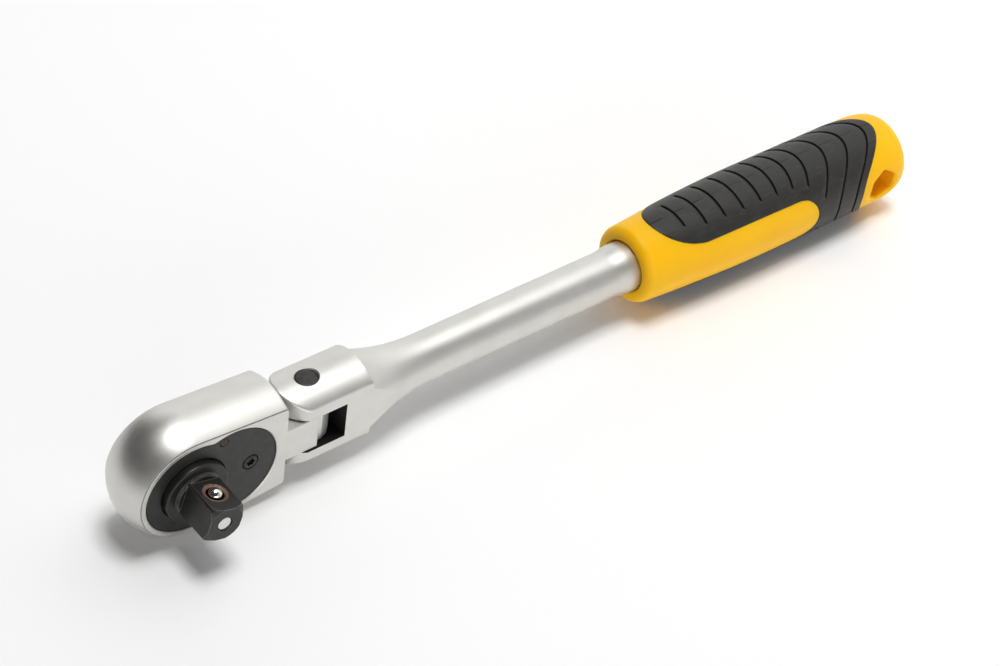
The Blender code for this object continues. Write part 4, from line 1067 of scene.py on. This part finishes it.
def groove_depth(crest, angle):
    """How deep the sleeve is cut: a fine seam along the crest, and ramps that end at a wall."""
    off = off_crest(angle)
    depth = SEAM_DEPTH * max(0, 1 - off / SEAM_ANGLE)
    for wall, reach in ribs():
        along = (crest - (wall - RIB_RAMP)) / RIB_RAMP
        side = min(1, max(0, (reach - off) / RIB_SIDE))
        if 0 < along <= 1 + NEARLY_ZERO and side > 0:
            depth = RIB_DEPTH * min(1, along) ** RIB_CURVE * side
    return depth


def sleeve_rows():
    """Crest stations of the sleeve's rows: closer at each groove's wall, and even between."""
    rows = {SLEEVE_START, SLEEVE_END}
    for crest, _ in ribs():
        rows |= {crest - RIB_RAMP, crest - RIB_RAMP / 2}
        rows |= {crest + walls * RIB_WALL for walls in RIB_ROWS}
    rows = filled(rows, PAD_ROW_STEP)
    return [row for i, row in enumerate(rows) if i == 0 or row - rows[i - 1] > RIB_WALL / 2]


def sleeve_angles():
    """Angles of the sleeve's columns round the grip, from -90 to 270 degrees, both pads alike."""
    quarter = {0.0, SEAM_ANGLE, math.pi / 2}
    for reach in (RIB_FIRST_ANGLE, RIB_ANGLE, LAST_RIB_ANGLE, LONG_RIB_ANGLE):
        quarter |= {reach, reach - RIB_SIDE}
    edge = SLEEVE_EASE / GRIP_FRONT_RADIUS
    quarter |= {PAD_HALF_ANGLE, PAD_HALF_ANGLE - edge / 3, PAD_HALF_ANGLE - edge}
    quarter = filled(quarter, PAD_COLUMN_STEP)[:-1]
    half = [-math.pi / 2] + [-angle for angle in reversed(quarter[1:])] + quarter
    return half + [angle + math.pi for angle in half]


def on_grip(x, angle, radius):
    return (x, -radius * math.sin(angle), radius * math.cos(angle))


def pad_radius(crest, front, angle):
    """Outer radius of a pad: the grip's, a little proud, less grooves and eased edges."""
    x = bowed(crest, angle)
    off = off_crest(angle)
    margin = min(crest - front, SLEEVE_END - crest)
    if off <= PAD_HALF_ANGLE + NEARLY_ZERO and x < WINDOW_END:
        margin = min(margin, (PAD_HALF_ANGLE - off) * GRIP_FRONT_RADIUS)
    inside = max(0, SLEEVE_EASE - margin)
    drop = SLEEVE_EASE - math.sqrt(max(0, SLEEVE_EASE ** 2 - inside ** 2))
    return grip_radius(x) + SLEEVE_PROUD - groove_depth(crest, angle) - drop


def make_sleeve():
    """The soft pads and their band, as one skin over the grip with a floor under it."""
    work = bmesh.new()
    rows = sleeve_rows()
    edge_steps = (0, SLEEVE_EASE / 4, SLEEVE_EASE)
    grid = []
    for angle in sleeve_angles():
        front = crest_of(pad_start(angle), angle)
        crests = [front + step for step in edge_steps]
        crests += [min(SLEEVE_END - SLEEVE_EASE, max(front + SLEEVE_EASE, row)) for row in rows]
        crests += [SLEEVE_END - step for step in reversed(edge_steps)]
        column = []
        for crest in crests:
            x = bowed(crest, angle)
            pair = (pad_radius(crest, front, angle), grip_radius(x) - SLEEVE_THICKNESS)
            column.append([work.verts.new(on_grip(x, angle, radius)) for radius in pair])
        grid.append(column)
    close_grid(work, grid)
    bmesh.ops.remove_doubles(work, verts=work.verts, dist=PAD_WELD)
    bmesh.ops.dissolve_degenerate(work, edges=work.edges, dist=PAD_WELD / 2)
    sleeve = link("grip_pads", work, HINGE)
    finish(sleeve, "handle", "grip_sleeve", "black_rubber", angle=PAD_SMOOTH_ANGLE)


def recess_tool():
    """The room for the pads in the grip's body, with a hair to spare."""
    work = bmesh.new()
    grid = []
    steps = 40
    for angle in sleeve_angles():
        front = crest_of(pad_start(angle), angle) - MOULD_GAP
        column = []
        for i in range(steps + 1):
            crest = front + (SLEEVE_END + MOULD_GAP - front) * i / steps
            x = bowed(crest, angle)
            pair = (grip_radius(x) + SLEEVE_THICKNESS, grip_radius(x) - SLEEVE_THICKNESS - MOULD_GAP)
            column.append([work.verts.new(on_grip(x, angle, radius)) for radius in pair])
        grid.append(column)
    close_grid(work, grid)
    return link("recess_tool", work, HINGE)


def hole_outline(grow):
    """The six-sided hanging hole with rounded corners, grown by a margin."""
    corner = HANG_HOLE - HANG_HOLE_ROUND / math.cos(math.pi / 6)
    outline = []
    for side in range(6):
        lean = math.pi / 2 + side * math.pi / 3
        centre = (GRIP_END - HANG_HOLE_FROM_END + corner * math.cos(lean), corner * math.sin(lean))
        ends = (lean - math.pi / 6, lean + math.pi / 6)
        outline += arc(centre, HANG_HOLE_ROUND + grow, *ends, CORNER_STEPS)
    return outline


def hole_rings():
    """The hole through the grip's end, with a rounded rim that follows the surface."""
    beyond = 2 * GRIP_REAR_RADIUS
    half = [[(x, beyond, z) for x, z in hole_outline(HANG_RIM)]]
    for i in range(CORNER_STEPS + 1):
        lean = math.pi / 2 * i / CORNER_STEPS
        grow = HANG_RIM * (1 - math.sin(lean))
        sink = HANG_RIM * (1 - math.cos(lean))
        ring = []
        for x, z in hole_outline(grow):
            surface = math.sqrt(max(0, grip_radius(min(x, GRIP_END)) ** 2 - z ** 2))
            ring.append((x, surface - sink, z))
        half.append(ring)
    return half + [[(x, -y, z) for x, y, z in ring] for ring in reversed(half)]


def make_grip():
    profile = [(GRIP_START, 0)]
    steps = 110
    for i in range(steps + 1):
        x = GRIP_START + GRIP_LENGTH * (1 - math.cos(math.pi * i / steps)) / 2
        profile.append((x, grip_radius(x)))
    profile.append((GRIP_END + END_DOME, 0))
    grip = turned("grip_body", profile, HINGE, "X", GRIP_FACETS)
    bore = FLARE_RADIUS + RUN_GAP
    socket = [(GRIP_START - COLLAR_MOUTH, bore + 2 * COLLAR_MOUTH)]
    socket += eased((GRIP_START + COLLAR_MOUTH / 2, bore), COLLAR_MOUTH, MOUTH_LEAN, ALONG)
    socket.append((GRIP_START + SHAFT_IN_GRIP + RUN_GAP, bore))
    hole = loft("hanging_hole", hole_rings(), HINGE)
    cut(grip, turned("bore", socket, HINGE, "X"), recess_tool(), hole)
    finish(grip, "handle", "grip_core", "yellow_plastic")


# Springs

def coil(name, radius, wire, turns, ends, at, axis):
    """A coil of round wire between two stations of an axis, as one tube."""
    low, high = ends
    count = turns * COIL_STEPS
    rise = (high - low - 2 * wire) / count
    slope = math.atan2(rise * COIL_STEPS, math.tau * radius)
    rings = []
    for i in range(count + 1):
        turn = math.tau * i / COIL_STEPS
        ring = []
        for across, up in circle(wire, WIRE_FACETS):
            out = radius + across
            back = up * math.sin(slope)
            a = out * math.cos(turn) + back * math.sin(turn)
            b = out * math.sin(turn) - back * math.cos(turn)
            ring.append(place(axis, low + wire + rise * i + up * math.cos(slope), a, b))
        rings.append(ring)
    return loft(name, rings, at)


def make_springs():
    """Each spring as a coil from its seat to its plunger or button, on a mesh of its own."""
    near, seat = [corner.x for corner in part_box("index_spring")]
    ends = (near - HINGE.x, seat - HINGE.x)
    spring = coil("index_coil", INDEX_COIL, INDEX_WIRE, INDEX_TURNS, ends, HINGE, "X")
    finish(spring, "handle", "index_spring", "spring_steel")
    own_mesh(spring)

    seat, near = [corner.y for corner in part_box("release_spring")]
    ends = (seat - DRIVE.y, near - DRIVE.y)
    spring = coil("release_coil", RELEASE_COIL, RELEASE_WIRE, RELEASE_TURNS, ends, DRIVE, "Y")
    finish(spring, "drive", "release_spring", "spring_steel")
    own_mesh(spring)


# Stage

def floor_slope(level):
    """The lean of a floor that meets the head under the drive at a level, and just touches the grip."""
    leans = []
    for i in range(FLOOR_TRIES + 1):
        x = SLEEVE_START + (GRIP_END - SLEEVE_START) * i / FLOOR_TRIES
        grip_low = HINGE.z - grip_radius(x) - SLEEVE_PROUD
        leans.append(math.atan2(grip_low - level, HINGE.x + x - DRIVE.x))
    return min(leans)


def make_floor():
    """A pale floor that touches the head and the grip, and looks white where nothing shades it."""
    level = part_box("head_housing")[0].z - FLOOR_GAP
    work = bmesh.new()
    bmesh.ops.create_grid(work, x_segments=1, y_segments=1, size=FLOOR_REACH)
    floor = link("floor", work, (DRIVE.x, 0, level))
    floor.rotation_euler = (0, -floor_slope(level), 0)
    look = Finish("floor", 3 * (FLOOR_COLOUR,), 0.9, 0.0)
    look.put("Specular IOR Level", 0.0)
    look.bump(look.noise(30, 2), depth=0.0002, strength=0.02)
    floor.data.materials.append(look.material)


def make_panel(name, at, width, height, level):
    """A flat lamp that faces the tool, as bright as its level times white."""
    lamp = bpy.data.lights.new(name, "AREA")
    lamp.shape = "RECTANGLE"
    lamp.size = width
    lamp.size_y = height
    lamp.energy = level * width * height * math.pi
    panel = bpy.data.objects.new(name, lamp)
    panel.location = at
    panel.rotation_euler = (-at).to_track_quat("-Z", "Y").to_euler()
    bpy.context.scene.collection.objects.link(panel)


def make_light():
    world = bpy.data.worlds.new("studio")
    world.use_nodes = True
    bpy.context.scene.world = world
    background = world.node_tree.nodes["Background"]
    background.inputs["Color"].default_value = (1, 1, 1, 1)
    background.inputs["Strength"].default_value = ROOM_LEVEL
    make_panel("key", KEY_AT, KEY_SIZE, KEY_SIZE, KEY_LEVEL)
    make_panel("ceiling", CEILING_AT, CEILING_SIZE, CEILING_SIZE, CEILING_LEVEL)
    for azimuth, height, level in WALLS:
        turn = math.radians(azimuth)
        at = Vector((WALL_DISTANCE * math.cos(turn), WALL_DISTANCE * math.sin(turn), height / 2))
        make_panel("wall", at, WALL_WIDTH, height, level)


def make_camera():
    data = bpy.data.cameras.new("camera")
    data.sensor_fit = "HORIZONTAL"
    data.sensor_width = SENSOR
    data.lens = SENSOR * FOCAL_PIXELS / IMAGE_WIDTH
    data.clip_start = NEAREST
    camera = bpy.data.objects.new("camera", data)
    forward = CAMERA_FORWARD.normalized()
    right = forward.cross(CAMERA_UP).normalized()
    up = right.cross(forward)
    turn = Matrix((right, up, -forward)).transposed()
    camera.matrix_world = Matrix.Translation(HINGE + CAMERA_FROM_HINGE) @ turn.to_4x4()
    bpy.context.scene.collection.objects.link(camera)
    bpy.context.scene.camera = camera


def dress_hidden():
    """Pieces that keep their solid get a finish of their own."""
    steel = ("lever_spring", "button_ring", "lever_clip", "index_plunger", "pawl")
    looks = dict.fromkeys(steel, "spring_steel")
    looks["lever_plunger"] = "bright_steel"
    looks["lever_seal"] = "black_rubber"
    for name, look in looks.items():
        mesh = frame["nodes"][name].data
        mesh.materials.clear()
        mesh.materials.append(FINISHES[look])


def main():
    make_head()
    make_plate()
    make_screw()
    make_locating_pins()
    make_drive()
    make_plunger()
    make_button()
    make_ball()
    make_lever()
    make_shaft()
    make_pin()
    make_springs()
    make_grip()
    make_sleeve()
    dress_hidden()
    make_floor()
    make_light()
    make_camera()
    bpy.context.scene.view_settings.view_transform = "Standard"


main()
